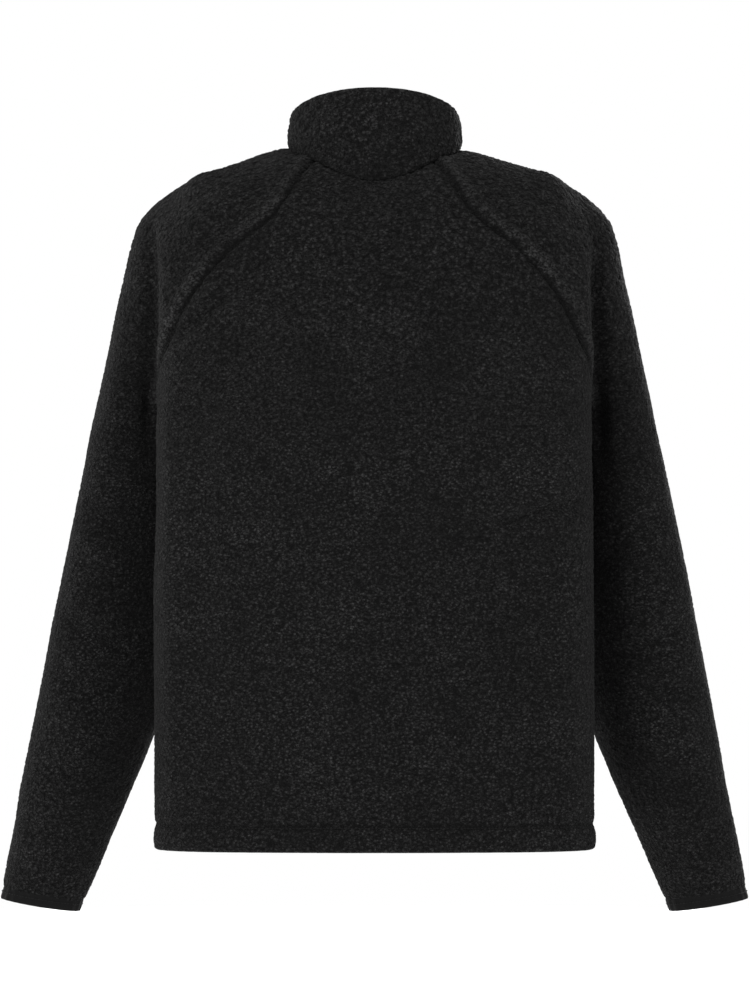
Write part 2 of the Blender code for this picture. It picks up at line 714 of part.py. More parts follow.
def zip_tapes(front_edge, collar_edge, tape):
    """The two tapes, each with its row of teeth, behind the edges of the fronts and of the collar."""
    path = np.vstack([collar_edge, front_edge])[:, 1:]
    lengths = np.concatenate([[0], np.cumsum(np.linalg.norm(np.diff(path, axis=0), axis=1))])
    at_neck = lengths[len(collar_edge) - 1]
    wanted = np.linspace(TAPE_TOP, lengths[-1] - TAPE_BOTTOM, TAPE_ROWS)
    wanted = np.sort(np.append(wanted, at_neck))
    path = np.stack([np.interp(wanted, lengths, path[:, axis]) for axis in (0, 1)], axis=1)
    ahead = unit(np.diff(path, axis=0))
    before, after = np.vstack([ahead[:1], ahead]), np.vstack([ahead, ahead[-1:]])
    mitre = (before + after) / (1 + (before * after).sum(1, keepdims=True))
    inwards = np.stack([-mitre[:, 1], mitre[:, 0]], axis=1)
    behind = np.interp(path[:, 1] - HEM_Z, (HEM_TURNING, HEM_TURNING * 1.3), (HEM_CLOTH, FLEECE))
    in_collar = ease((path[:, 1] - front_edge[0, 2] + 0.045) / 0.025)
    behind = behind + (COLLAR_CLOTH - FLEECE) * in_collar
    behind = behind + 2 * SEAM_GAP
    half_gap = SEAM_GAP / 2
    bend = TAPE_WIDTH**2 / 2 * (in_collar / COLLAR_BEND + (1 - in_collar) / FRONT_BEND)
    profile = (
        (half_gap, 0 * behind + TEETH_DEPTH),
        (TEETH_HALF_WIDTH, 0 * behind + TEETH_DEPTH),
        (TEETH_HALF_WIDTH, behind),
        (TAPE_WIDTH, behind + bend),
        (TAPE_WIDTH, behind + bend + TAPE_CLOTH),
        (half_gap, behind + TAPE_CLOTH),
    )
    rings = [
        np.column_stack([np.full(len(path), x), path + inwards * depth[:, None]])
        for x, depth in profile
    ]
    points = np.stack(rings, axis=1)
    for name, side in (("zip_tape_left", points), ("zip_tape_right", mirrored(points))):
        tube(name, side, tape)
    return points[0, 0], behind[0] + TAPE_CLOTH


def tube(name, rings, material):
    """A closed solid through rings of points, with a flat face at each end."""
    rows, columns = rings.shape[:2]
    ids = np.arange(rows * columns).reshape(rows, columns)
    after = np.roll(ids, -1, axis=1)
    sides = np.stack([ids[:-1], ids[1:], after[1:], after[:-1]], axis=-1).reshape(-1, 4)
    faces = [*sides.tolist(), ids[0].tolist(), ids[-1, ::-1].tolist()]
    mesh = bpy.data.meshes.new(name)
    mesh.from_pydata(rings.reshape(-1, 3).tolist(), [], faces)
    mesh.materials.append(material)
    body = bpy.data.objects.new(name, mesh)
    bpy.context.collection.objects.link(body)
    return body


def block(name, low, high, material, at):
    """A box between two corners, given from a point."""
    x, y, z = np.meshgrid(*zip(low, high), indexing="ij")
    points = np.stack([x.ravel(), y.ravel(), z.ravel()], axis=1)
    faces = [(0, 1, 3, 2), (4, 6, 7, 5), (0, 4, 5, 1), (2, 3, 7, 6), (0, 2, 6, 4), (1, 5, 7, 3)]
    body = solid(name, points, faces, material)
    body.location = at
    return body


def joined_blocks(name, corners, material, at):
    """One solid from overlapping boxes."""
    body = block(name, *corners[0], material, at)
    for number, (low, high) in enumerate(corners[1:], 1):
        part = block(f"{name}_block_{number}", low, high, material, at)
        part.hide_render = True
        part.display_type = "WIRE"
        union = body.modifiers.new(part.name, "BOOLEAN")
        union.operation = "UNION"
        union.object = part
    return body


def slider_and_pull(tape_end, tape_back, metal):
    """The slider at the top of the zip, with plates before and behind the teeth, and its hinged pull."""
    half = SLIDER_WIDTH / 2
    front = TEETH_DEPTH - SLIDER_PLATE - SEAM_GAP - COLLAR_LEAN
    back = tape_back + SEAM_GAP + COLLAR_LEAN
    low, high = -SLIDER_HEIGHT, SLIDER_NECK
    arch, window = ARCH_WIDTH / 2, ARCH_WINDOW / 2
    axis_y, axis_z = front - AXIS_OUT, (low + high) / 2
    outer = axis_y - window * 0.5 - ARCH_BAR
    foot = window + ARCH_BAR
    corners = [
        ((-half, front, low), (half, front + SLIDER_PLATE, high)),
        ((-half, back, low), (half, back + SLIDER_PLATE, high)),
        ((-1.5e-3, front + 2e-4, SEAM_GAP * 2), (1.5e-3, back + 2e-4, high - 2e-4)),
        ((-arch, outer, axis_z + window), (arch, front + 2e-4, axis_z + foot)),
        ((-arch, outer, axis_z - foot), (arch, front + 2e-4, axis_z - window)),
        ((-arch, outer, axis_z - foot), (arch, outer + ARCH_BAR, axis_z + foot)),
    ]
    at = np.array([0, tape_end[1] - TEETH_DEPTH, tape_end[2]])
    joined_blocks("zip_slider", corners, metal, at)
    thick, side = PULL_THICKNESS / 2, PULL_WIDTH / 2
    eye = arch + 5e-4
    corners = [
        ((-side, -thick, -PULL_LENGTH), (side, thick, -EYE_LENGTH)),
        ((-side, -thick, -EYE_LENGTH - 2e-4), (-eye, thick, thick)),
        ((eye, -thick, -EYE_LENGTH - 2e-4), (side, thick, thick)),
        ((-side, -thick, -thick), (side, thick, thick)),
    ]
    hinge = at + (0, axis_y, axis_z)
    joined_blocks("zip_pull", corners, metal, hinge)
    print("pull hinge at", hinge)


def main():
    for old in list(bpy.data.objects):
        bpy.data.objects.remove(old)
    fleece = finish("pile_fleece", (0.012, 0.012, 0.013), 0.95)
    elastic = finish("elastic_binding", (0.010, 0.010, 0.011), 0.7)
    tape = finish("zip_tape", (0.010, 0.010, 0.011), 0.6)
    metal = finish("black_metal", (0.02, 0.02, 0.022), 0.35, 0.9)
    front_edge = body_panels(fleece)
    outer, inner = collar_grids()
    wall("collar", outer, inner, fleece)
    cuff_binding(elastic)
    tape_end, tape_back = zip_tapes(front_edge, outer[:, -1], tape)
    slider_and_pull(tape_end, tape_back, metal)


main()
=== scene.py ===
# %% [markdown]
# # A black pile-fleece jacket, seen from the back
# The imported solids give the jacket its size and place. This file dresses them: every panel becomes a
# thin shell of curly fleece with the creases of worn cloth, and the seams get their stitches, the
# cuffs their elastic, and the front its toothed zip. Everything is worked out with numpy on grids.

# %% Load the frame
import json
import math
from itertools import product

import bpy
import numpy as np
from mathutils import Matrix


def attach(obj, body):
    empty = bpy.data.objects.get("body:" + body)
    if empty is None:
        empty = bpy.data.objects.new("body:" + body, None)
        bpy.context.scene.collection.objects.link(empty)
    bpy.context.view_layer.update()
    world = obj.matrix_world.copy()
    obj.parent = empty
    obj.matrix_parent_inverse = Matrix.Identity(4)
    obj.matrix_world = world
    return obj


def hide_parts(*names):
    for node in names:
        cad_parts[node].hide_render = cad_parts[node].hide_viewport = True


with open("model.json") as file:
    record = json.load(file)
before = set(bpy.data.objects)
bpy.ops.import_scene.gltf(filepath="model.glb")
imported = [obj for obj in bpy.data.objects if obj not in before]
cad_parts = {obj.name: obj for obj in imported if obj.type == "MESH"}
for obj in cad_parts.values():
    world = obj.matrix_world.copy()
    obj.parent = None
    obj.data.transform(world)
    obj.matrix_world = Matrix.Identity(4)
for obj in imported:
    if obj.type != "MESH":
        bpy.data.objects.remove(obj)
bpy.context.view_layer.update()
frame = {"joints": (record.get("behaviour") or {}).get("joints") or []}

# %% [markdown]
# ## The form under the cloth
# A filled-out garment is hard to draw as separate tubes, because the sleeve grows out of the shoulder.
# A sculptor would use voxels; here one smooth "gap" function says how far a point lies outside the
# body, torso and arm are joined by a rounded minimum, and rays find the surface. It repeats the sizes
# of the solids, so each shell lies where its solid is.

# %% Sizes of the form
def chart(columns, rows):
    """A table as one array for each named column."""
    return dict(zip(columns, np.array(rows, float).T))


# Torso rings: how wide and deep the filled body is at each level.
HEM_Z = -0.696
TORSO = chart(
    ("level", "half_width", "widest_y", "back_y", "front_y"),
    [
        (-0.696, 0.2180, 0.040, 0.104, -0.112),
        (-0.560, 0.2182, 0.040, 0.107, -0.118),
        (-0.420, 0.2172, 0.040, 0.110, -0.123),
        (-0.300, 0.2155, 0.040, 0.112, -0.126),
        (-0.200, 0.2140, 0.036, 0.111, -0.127),
        (-0.100, 0.2130, 0.030, 0.110, -0.127),
        (0.000, 0.2120, 0.024, 0.110, -0.127),
    ],
)
BACK_FLATNESS = 2.7  # exponent of the ring's curve: 2 is an ellipse, more is flatter
FRONT_FLATNESS = 2.0
SIDE_BLEND = 0.08  # depth over which the back's curve passes into the front's

# Yoke: how the torso closes over to the shoulders.
NECK_HALF_WIDTH = 0.0845
NECK_SIDE_Z = -0.006
SHOULDER_SLOPE = math.tan(math.radians(21.0))
YOKE_HEIGHT = 0.25
RIDGE_BEND = 0.03  # how softly the shoulder line bends down from the neck
RIDGE_Y = -0.010
YOKE_PLAN = 2.35  # exponent of the yoke's outline seen from above
YOKE_PLAN_END = 0.188  # where that outline stops falling away
BACK_ROUNDNESS = 3.2
FRONT_ROUNDNESS = 1.55

# Neck opening and collar.
NECK_Y = 0.0025
NECK_HALF_DEPTH = 0.0725
COLLAR_TOP_HALF_WIDTH = 0.0832
COLLAR_TOP_HALF_DEPTH = 0.0745
COLLAR_TOP_Y = 0.001
COLLAR_BACK_TOP_Z = 0.0568
COLLAR_TOP_DROP = 0.047

# Arm: the straight outer edge of the sleeve, and its sections, which fan about the inner edge.
OUTER_EDGE_X = 0.2415
OUTER_EDGE_Z = -0.090
OUTER_EDGE_LEAN = math.radians(12.6)
SHOULDER_ROUNDING = 0.040
ARM_LIFT = 0.006  # how far the arm's own shoulder line lies above the yoke's
FAN_X = 0.176
FAN_Z = -0.272
ARM = chart(
    ("angle", "mid_y", "half_depth", "lean", "blend"),
    [
        (10, -0.066, 0.0700, 25, 0.002),
        (34, -0.058, 0.0700, 22, 0.008),
        (57, -0.046, 0.0690, 18, 0.010),
        (70, -0.032, 0.0680, 12, 0.014),
        (78, -0.022, 0.0680, 8, 0.025),
        (84, -0.015, 0.0680, 5, 0.025),
        (96, -0.008, 0.0680, 0, 0.022),
        (108, -0.005, 0.0680, 0, 0.022),
    ],
)
ARM_CORE = 0.055  # how far the arm's middle lies below the shoulder's outer edge

# Sleeve below the underarm: outer and inner edge as the back view shows them, and the depth.
SLEEVE = chart(
    ("station", "outer_x", "outer_z", "inner_x", "inner_z", "mid_y", "half_depth", "lean"),
    [
        (0.00, 0.2795, -0.2535, 0.1760, -0.2720, -0.066, 0.0700, 25),
        (0.25, 0.3062, -0.3803, 0.1860, -0.4010, -0.072, 0.0650, 24),
        (0.50, 0.3313, -0.5068, 0.2030, -0.5280, -0.076, 0.0600, 18),
        (0.70, 0.3520, -0.6096, 0.2382, -0.6276, -0.080, 0.0520, 10),
        (0.85, 0.3665, -0.6853, 0.2705, -0.6990, -0.084, 0.0430, 5),
        (1.00, 0.3780, -0.7445, 0.2961, -0.7581, -0.088, 0.0350, 0),
    ],
)
BINDING_WIDTH = 0.010

# Seams.
UNDERARM = (0.1955, -0.036, -0.272)
UNDERARM_TURN = math.radians(128)  # its place on the sleeve's first ring
SEAM_AT_INNER_EDGE = 0.667  # share of the sleeve by which the underarm seam has reached the inner edge
BACK_RAGLAN_NECK = math.radians(45)  # place on the neck opening, from the middle of the back
FRONT_RAGLAN_NECK = math.radians(138)
BACK_RAGLAN = chart(
    ("station", "x", "y", "z"),
    [
        (0.20, 0.0965, 0.088, -0.068),
        (0.40, 0.1380, 0.088, -0.102),
        (0.60, 0.1740, 0.082, -0.144),
        (0.80, 0.2030, 0.066, -0.198),
        (0.92, 0.2120, 0.020, -0.244),
        (1.00, *UNDERARM),
    ],
)
FRONT_RAGLAN = chart(
    ("station", "x", "y", "z"),
    [
        (0.25, 0.0900, -0.085, -0.098),
        (0.50, 0.1250, -0.092, -0.150),
        (0.75, 0.1570, -0.086, -0.206),
        (0.92, 0.1800, -0.060, -0.250),
        (1.00, *UNDERARM),
    ],
)
FRONT_CLEAR_OF_ARM = 0.75  # share of the seam below which the front lies behind the arm
SIDE_SEAM_HEM = math.radians(104)  # place on the hem ring, from the middle of the back

# Rows and columns of the panels, before they are refined.
RAGLAN_ROWS = 13
BODY_ROWS = 16
SLEEVE_ROWS = 18
BEND_ROWS = 2.6
BEND_PASSES = 8
BEND_COLUMNS = 5
BEND_SHARE = 0.7
BACK_COLUMNS = 24
FRONT_COLUMNS = 11
SLEEVE_COLUMNS = 20
COLLAR_COLUMNS = 28
DENSE = 41
RAY_DEPTH = 0.03
ZIP_HALF_GAP = 0.005
SEAM_GAP = 0.0003

# %% Curves through tables
def cubic(start, end, start_slope, end_slope, t):
    """Hermite's cubic: from start to end as t goes from 0 to 1, with the given slopes at both ends."""
    return (
        start * (1 + 2 * t) * (1 - t) ** 2
        + end * (3 - 2 * t) * t**2
        + start_slope * t * (1 - t) ** 2
        + end_slope * t**2 * (t - 1)
    )


def along(table, column, at):
    """A column's value at a place in the table's first column, on a smooth curve through its rows."""
    knots = next(iter(table.values()))
    values = table[column]
    slopes = np.gradient(values, knots)
    at = np.clip(at, knots[0], knots[-1])
    row = np.clip(np.searchsorted(knots, at, side="right") - 1, 0, len(knots) - 2)
    width = knots[row + 1] - knots[row]
    t = (at - knots[row]) / width
    return cubic(values[row], values[row + 1], slopes[row] * width, slopes[row + 1] * width, t)


def ease(t):
    """0 below 0, 1 above 1, and a smooth step between."""
    t = np.clip(t, 0, 1)
    return t * t * (3 - 2 * t)


def bell(distance, width):
    """1 at no distance, falling on both sides as a bell does: exp(-(distance / width)^2)."""
    return np.exp(-((distance / width) ** 2))


def soft_least(a, b, rounding):
    """The smaller of two values, with a rounded corner where they cross."""
    near = np.maximum(rounding - np.abs(a - b), 0) / rounding
    return np.minimum(a, b) - near**2 * rounding / 4


def soft_over(value, rounding):
    """0 below 0, the value itself above, with a rounded bend."""
    return -soft_least(-value, np.zeros_like(value), rounding)

# %% How far a point lies outside the torso
def torso_gap(x, y, z):
    """About how far a point lies outside the torso rings and the yoke that closes them."""
    x = np.abs(x)
    half_width = along(TORSO, "half_width", z)
    plan = (1 - (np.minimum(x, YOKE_PLAN_END) / half_width) ** YOKE_PLAN) ** (1 / YOKE_PLAN)
    ridge = NECK_SIDE_Z - SHOULDER_SLOPE * soft_over(x - NECK_HALF_WIDTH, RIDGE_BEND)
    ridge = ridge + YOKE_HEIGHT * (1 - plan)
    up = np.maximum(1 - (ridge - z) / YOKE_HEIGHT, 0)
    widest = along(TORSO, "widest_y", z)
    middle = widest + (RIDGE_Y - widest) * ease(up)
    back = along(TORSO, "back_y", z) - middle
    front = middle - along(TORSO, "front_y", z)
    behind = ease((y - middle) / SIDE_BLEND + 0.5)
    depth = np.where(y > middle, back, front)
    flatness = FRONT_FLATNESS + (BACK_FLATNESS - FRONT_FLATNESS) * behind
    roundness = FRONT_ROUNDNESS + (BACK_ROUNDNESS - FRONT_ROUNDNESS) * behind
    profile = ((np.abs(y - middle) / depth) ** roundness + up**roundness) ** (1 / roundness)
    size = ((x / half_width) ** flatness + profile**flatness) ** (1 / flatness)
    away = np.sqrt(x**2 + (y - middle) ** 2 + (up * YOKE_HEIGHT) ** 2)
    return away * (size - 1) / np.maximum(size, 1e-6)

# %% How far a point lies outside the arm
def arm_reach(angle):
    """From the fan's pivot to the outer edge: the nearer of the sleeve's edge and the shoulder slope."""
    c, s = np.cos(angle), np.sin(angle)
    edge = (OUTER_EDGE_X - FAN_X) * math.cos(OUTER_EDGE_LEAN)
    edge = edge + (OUTER_EDGE_Z - FAN_Z) * math.sin(OUTER_EDGE_LEAN)
    towards_edge = c * math.cos(OUTER_EDGE_LEAN) + s * math.sin(OUTER_EDGE_LEAN)
    slope = math.atan(SHOULDER_SLOPE)
    top = NECK_SIDE_Z + ARM_LIFT - FAN_Z
    shoulder = (NECK_HALF_WIDTH - FAN_X) * math.sin(slope) + top * math.cos(slope)
    towards_shoulder = c * math.sin(slope) + s * math.cos(slope)
    return soft_least(
        edge / np.maximum(towards_edge, 0.1),
        shoulder / np.maximum(towards_shoulder, 0.1),
        SHOULDER_ROUNDING,
    )


def arm_section(angle):
    """Depth, half sizes and lean of the arm's section, which starts at the fan's pivot."""
    degrees = np.degrees(angle)
    half_width = arm_reach(angle) / 2
    return (
        along(ARM, "mid_y", degrees),
        half_width,
        along(ARM, "half_depth", degrees),
        np.radians(along(ARM, "lean", degrees)),
    )


FIRST_FAN, LAST_FAN = np.radians((ARM["angle"][0], ARM["angle"][-1]))


def fan_angle(x, z):
    """A point's angle in the fan, held between the first and the last plane."""
    turned = np.arctan2(z - FAN_Z, x - FAN_X)
    turned = np.where(turned < FIRST_FAN - math.radians(120), turned + 2 * math.pi, turned)
    return np.clip(turned, FIRST_FAN, LAST_FAN)


def arm_gap(x, y, z):
    """About how far a point lies outside the arm above the underarm."""
    x = np.abs(x)
    angle = fan_angle(x, z)
    c, s = np.cos(angle), np.sin(angle)
    out = (x - FAN_X) * c + (z - FAN_Z) * s
    past_end = (z - FAN_Z) * c - (x - FAN_X) * s
    mid_y, half_width, half_depth, lean = arm_section(angle)
    across = out / half_width - 1
    deep = ((y - mid_y) / half_depth - across * np.sin(lean)) / np.cos(lean)
    size = np.maximum(np.hypot(across, deep), 1e-6)
    gap = np.hypot(out - half_width, y - mid_y) * (size - 1) / size
    return np.where(np.abs(past_end) > 1e-9, np.hypot(np.maximum(gap, 0), past_end), gap)

# %% The whole form, and rays that find its surface
def form_gap(points):
    """About how far points lie outside the whole form: torso and arms, smoothly joined."""
    x, y, z = np.moveaxis(points, -1, 0)
    blend = along(ARM, "blend", np.degrees(fan_angle(np.abs(x), z)))
    return soft_least(torso_gap(x, y, z), arm_gap(x, y, z), blend)


def body_gap(points):
    """About how far points lie outside the torso alone."""
    return torso_gap(*np.moveaxis(points, -1, 0))


def slope_of(gap, points, step=1e-4):
    """How the gap grows along each axis."""
    shifts = np.eye(3) * step
    return np.stack([(gap(points + s) - gap(points - s)) / (2 * step) for s in shifts], axis=-1)


def snapped(points, gap=form_gap):
    """Points moved straight onto the form."""
    for _ in range(12):
        slope = slope_of(gap, points)
        size = np.maximum((slope**2).sum(-1, keepdims=True), 0.05)
        points = points - np.clip(gap(points)[..., None] / size, -0.01, 0.01) * slope
    return points


def unit(vectors):
    """Vectors divided by their lengths."""
    return vectors / np.maximum(np.linalg.norm(vectors, axis=-1, keepdims=True), 1e-12)


def exits(origins, directions, gap=form_gap, reach=0.34):
    """Where rays that start inside first leave the form."""
    steps = np.linspace(0, reach, 69)
    low = np.zeros(origins.shape[:-1])
    found = np.zeros(low.shape, bool)
    for step in steps[1:]:
        outside = gap(origins + directions * step) > 0
        low = np.where(found | outside, low, step)
        found |= outside
    high = low + steps[1]
    for _ in range(22):
        middle = (low + high) / 2
        outside = gap(origins + directions * middle[..., None]) > 0
        low, high = np.where(outside, low, middle), np.where(outside, middle, high)
    return origins + directions * high[..., None]


def lengths_along(line):
    """How far each point of a line lies from its start, measured along the line."""
    steps = np.linalg.norm(np.diff(line, axis=0), axis=1)
    return np.concatenate([[0], np.cumsum(steps)])


def read(values, lengths, where):
    """Rows of values, known at lengths along a line, read between them at other lengths."""
    return np.stack([np.interp(where, lengths, column) for column in values.T], axis=-1)


def spaced(curves, count):
    """Each curve (an array of points) cut again into equal steps along its length."""
    result = []
    for curve in curves:
        lengths = lengths_along(curve)
        result.append(read(curve, lengths, np.linspace(0, lengths[-1], count)))
    return np.array(result)

# %% Neck and raglan seams
def neck_point(turn):
    """The collar seam at a turn from the middle of the back: the neck ellipse, raised onto the form."""
    turn = np.asarray(turn, float)
    x = NECK_HALF_WIDTH * np.sin(turn)
    y = NECK_Y + NECK_HALF_DEPTH * np.cos(turn)
    origins = np.stack([x, y, np.full_like(x, -0.16)], axis=-1)
    up = np.broadcast_to([0.0, 0.0, 1.0], origins.shape)
    return exits(origins, up)


def seam_curve(table, neck_turn, count):
    """A raglan seam from the collar seam to the underarm, in equal steps."""
    places = np.concatenate([[0], table["station"]])
    start = neck_point(neck_turn)
    rows = np.vstack([start, np.stack([table[axis] for axis in "xyz"], axis=1)])
    whole = chart(("station", "x", "y", "z"), np.column_stack([places, rows]))
    stations = np.linspace(0, 1, 200)
    points = np.stack([along(whole, axis, stations) for axis in "xyz"], axis=1)
    points[1:-4] = snapped(points[1:-4])
    return spaced([points], count)[0]


def ring_rays(levels, turns, gap):
    """Points where level rays from the torso's middle leave the form, a turn being 0 at the back."""
    middle = along(TORSO, "widest_y", levels)
    zero = np.zeros_like(levels)
    origins = np.stack([zero, middle, levels], axis=-1)
    directions = np.stack([np.sin(turns), np.cos(turns), zero], axis=-1)
    return exits(origins, directions, gap)


def turn_of(point):
    """A point's turn about the torso's middle."""
    return np.arctan2(point[..., 0], point[..., 1] - along(TORSO, "widest_y", point[..., 2]))

# %% Back and front panels
def back_grid(seam):
    """Half of the back, rows from the neck to the hem, columns from the middle to the seam."""
    u = np.linspace(0, 1, DENSE)
    rows = [neck_point(u * BACK_RAGLAN_NECK)]
    middle_z = rows[0][0, 2]
    for index, end in enumerate(seam[1:-1], 1):
        share = 1 - index / (len(seam) - 1)
        sag = (middle_z - seam[0, 2]) * share**1.5
        levels = end[2] + sag * (1 - u**2)
        row = ring_rays(levels, turn_of(end) * u, form_gap)
        row[-1] = end
        rows.append(row)
    rows += body_rows(seam[-1], u, 0.0)
    return spaced(rows, BACK_COLUMNS // 2 + 1)


def side_turn(share):
    """The side seam's turn, from the underarm to the hem."""
    start = turn_of(np.array(UNDERARM))
    return start + (SIDE_SEAM_HEM - start) * ease(share)


def body_rows(underarm, u, far_turn):
    """Rows from the underarm to the hem, from the middle of the back or front to the side seam."""
    rows = []
    for index in range(BODY_ROWS + 1):
        share = index / BODY_ROWS
        level = UNDERARM[2] + (HEM_Z - UNDERARM[2]) * share
        turns = far_turn + (side_turn(share) - far_turn) * u
        row = ring_rays(np.full_like(u, level), turns, body_gap)
        if index == 0:
            row[-1] = underarm
        rows.append(row)
    return rows


def front_grid(seam):
    """The left front, rows from the neck to the hem, columns from the zip to the seam."""
    u = np.linspace(0, 1, DENSE)
    zip_turn = math.pi - math.asin(ZIP_HALF_GAP / NECK_HALF_WIDTH)
    rows = [neck_point(zip_turn + (FRONT_RAGLAN_NECK - zip_turn) * u)]
    top = rows[0][0, 2]
    for index, end in enumerate(seam[1:-1], 1):
        share = index / (len(seam) - 1)
        at_zip = top + (UNDERARM[2] - top) * share
        levels = at_zip + (end[2] - at_zip) * ease(u) ** (1 + share)
        turns = math.pi + (turn_of(end) - math.pi) * u
        row = ring_rays(levels, turns, form_gap if share < FRONT_CLEAR_OF_ARM else body_gap)
        row[-1] = end
        rows.append(row)
    rows += body_rows(seam[-1], u, math.pi)
    return spaced([from_zip(row) for row in rows], FRONT_COLUMNS + 1)


def from_zip(row):
    """A front row cut off at the zip's edge."""
    number = np.arange(len(row))
    share = np.interp(ZIP_HALF_GAP, row[:, 0], number)
    return np.vstack([read(row, number, share), row[int(share) + 1 :]])

# %% Sleeves
def fan_frame(angle):
    """The arm's centre and its outermost point in the fan plane at an angle."""
    mid_y, half_width, half_depth, lean = arm_section(angle)
    out = np.stack([np.cos(angle), 0 * angle, np.sin(angle)], axis=-1)
    pivot = np.array([FAN_X, 0, FAN_Z])
    core = np.maximum(half_width, 2 * half_width - ARM_CORE)
    middle = pivot + out * core[..., None]
    middle[..., 1] = mid_y
    tip = pivot + out * 2 * half_width[..., None]
    tip[..., 1] = mid_y + half_depth * np.sin(lean)
    return middle, tip


def half_arc(start, normal, middle, tip):
    """Points over the form from a seam to the arm's outer edge."""
    u = np.linspace(0, 1, DENSE)[:, None]
    inside = start - normal * RAY_DEPTH
    origins = inside + (middle - inside) * u
    directions = unit(normal * (1 - u) + unit(tip - middle) * u)
    points = exits(origins, directions)
    points[0] = start
    return points


def sleeve_loop(station):
    """A closed ring round the sleeve: underarm seam, back, outer edge, front, underarm seam."""
    row = {name: along(SLEEVE, name, station) for name in SLEEVE if name != "station"}
    outer = np.array([row["outer_x"], 0, row["outer_z"]])
    inner = np.array([row["inner_x"], 0, row["inner_z"]])
    half = (outer - inner) / 2
    start = UNDERARM_TURN + (math.pi - UNDERARM_TURN) * ease(station / SEAM_AT_INNER_EDGE)
    turn = np.linspace(start, start - 2 * math.pi, 4 * DENSE)[:, None]
    lean = math.radians(row["lean"])
    points = (outer + inner) / 2 + half * np.cos(turn)
    points[:, 1] = row["mid_y"] + row["half_depth"] * np.sin(turn[:, 0] + lean)
    return points


def sleeve_grid(back_seam, front_seam):
    """The left sleeve: open arcs from seam to seam, then closed rings down to the cuff."""
    dense = np.linspace(LAST_FAN, FIRST_FAN, 400)
    _, tips = fan_frame(dense)
    lengths = lengths_along(tips)
    wanted = np.linspace(0, lengths[-1], RAGLAN_ROWS + 1)
    angles = np.interp(wanted, lengths, dense)
    u = np.linspace(BACK_RAGLAN_NECK, FRONT_RAGLAN_NECK, 2 * DENSE)
    rows = [neck_point(u)]
    for index in range(1, RAGLAN_ROWS - 1):
        middle, tip = fan_frame(angles[index])
        arcs = []
        for seam in (back_seam, front_seam):
            start = seam[index]
            normal = unit(slope_of(form_gap, start))
            arcs.append(half_arc(start, normal, middle, tip))
        rows.append(np.vstack([arcs[0], arcs[1][-2::-1]]))
    for index in range(SLEEVE_ROWS + 1):
        loop = sleeve_loop(index / SLEEVE_ROWS)
        if index == 0:
            loop[0] = loop[-1] = UNDERARM
        rows.append(loop)
    grid = spaced(rows, SLEEVE_COLUMNS + 1)
    before_underarm = (grid[RAGLAN_ROWS - 2] + grid[RAGLAN_ROWS - 1]) / 2
    before_underarm[0], before_underarm[-1] = back_seam[-2], front_seam[-2]
    return rounded_arm(np.insert(grid, RAGLAN_ROWS - 1, before_underarm, axis=0))


def rounded_arm(grid):
    """The sleeve with its bend at the underarm eased, except along its seams."""
    row = np.arange(len(grid))[1:-1, None]
    column = np.arange(SLEEVE_COLUMNS + 1)[None]
    from_seam = np.minimum(column, SLEEVE_COLUMNS - column)
    share = bell(row - RAGLAN_ROWS, BEND_ROWS) * ease(from_seam / BEND_COLUMNS)
    for _ in range(BEND_PASSES):
        between = (grid[:-2] + grid[2:]) / 2
        grid[1:-1] += (between - grid[1:-1]) * share[..., None] * BEND_SHARE
    return grid


def mirrored(grid):
    """The same grid on the other side of the body, with its outer side still outwards."""
    return (grid * (-1, 1, 1))[:, ::-1]

# %% [markdown]
# ## From panel grids to fine cloth
# The panels come out as coarse grids whose rows run across the body. A subdivision modifier could
# smooth them, but a cubic curve through the same points keeps the seams where they are and gives
# control over the steps: about 2 mm over the panel and closer along its edges, where cloth rolls over.

# %% Panel grids
back_seam = seam_curve(BACK_RAGLAN, BACK_RAGLAN_NECK, RAGLAN_ROWS + 1)
front_seam = seam_curve(FRONT_RAGLAN, FRONT_RAGLAN_NECK, RAGLAN_ROWS + 1)
half_back = back_grid(back_seam)
coarse_back = np.concatenate([mirrored(half_back)[:, :-1], half_back], axis=1)
coarse_front = front_grid(front_seam)[:, ::-1]
coarse_sleeve = sleeve_grid(back_seam, front_seam)
print("panels:", coarse_back.shape, coarse_front.shape, coarse_sleeve.shape)

# %% A cubic curve through rows, and closer steps at both ends
EDGE_STEPS = np.array([0.12, 0.30, 0.60])


def places(intervals, steps):
    """Row numbers to read: equal steps, with three extra ones in the first and in the last step."""
    even = np.arange(intervals * steps + 1) / steps
    start = EDGE_STEPS / steps
    return np.concatenate([even[:1], start, even[1:-1], intervals - start[::-1], even[-1:]])


def spline(values, at):
    """The cubic through the rows whose slope at a row is half the step between its neighbours."""
    row = np.minimum(at.astype(int), len(values) - 2)
    t = (at - row).reshape(-1, *[1] * (values.ndim - 1))
    slope = np.gradient(values, axis=0)
    return cubic(values[row], values[row + 1], slope[row], slope[row + 1], t)


def refined(grid, down, across):
    """A grid read at finer rows and columns."""
    rows, columns = grid.shape[0] - 1, grid.shape[1] - 1
    tall = spline(grid, places(rows, down))
    return np.swapaxes(spline(np.swapaxes(tall, 0, 1), places(columns, across)), 0, 1)


STEPS_DOWN, STEPS_ACROSS = 12, 9
SEAM_ROW = RAGLAN_ROWS * STEPS_DOWN + len(EDGE_STEPS)  # the underarm's row in a refined grid
back = refined(coarse_back, STEPS_DOWN, STEPS_ACROSS)
front = refined(coarse_front, STEPS_DOWN, STEPS_ACROSS)
sleeve = refined(coarse_sleeve, STEPS_DOWN, STEPS_ACROSS)
sleeve[SEAM_ROW:, -1] = sleeve[SEAM_ROW:, 0]
print("refined:", back.shape, front.shape, sleeve.shape)

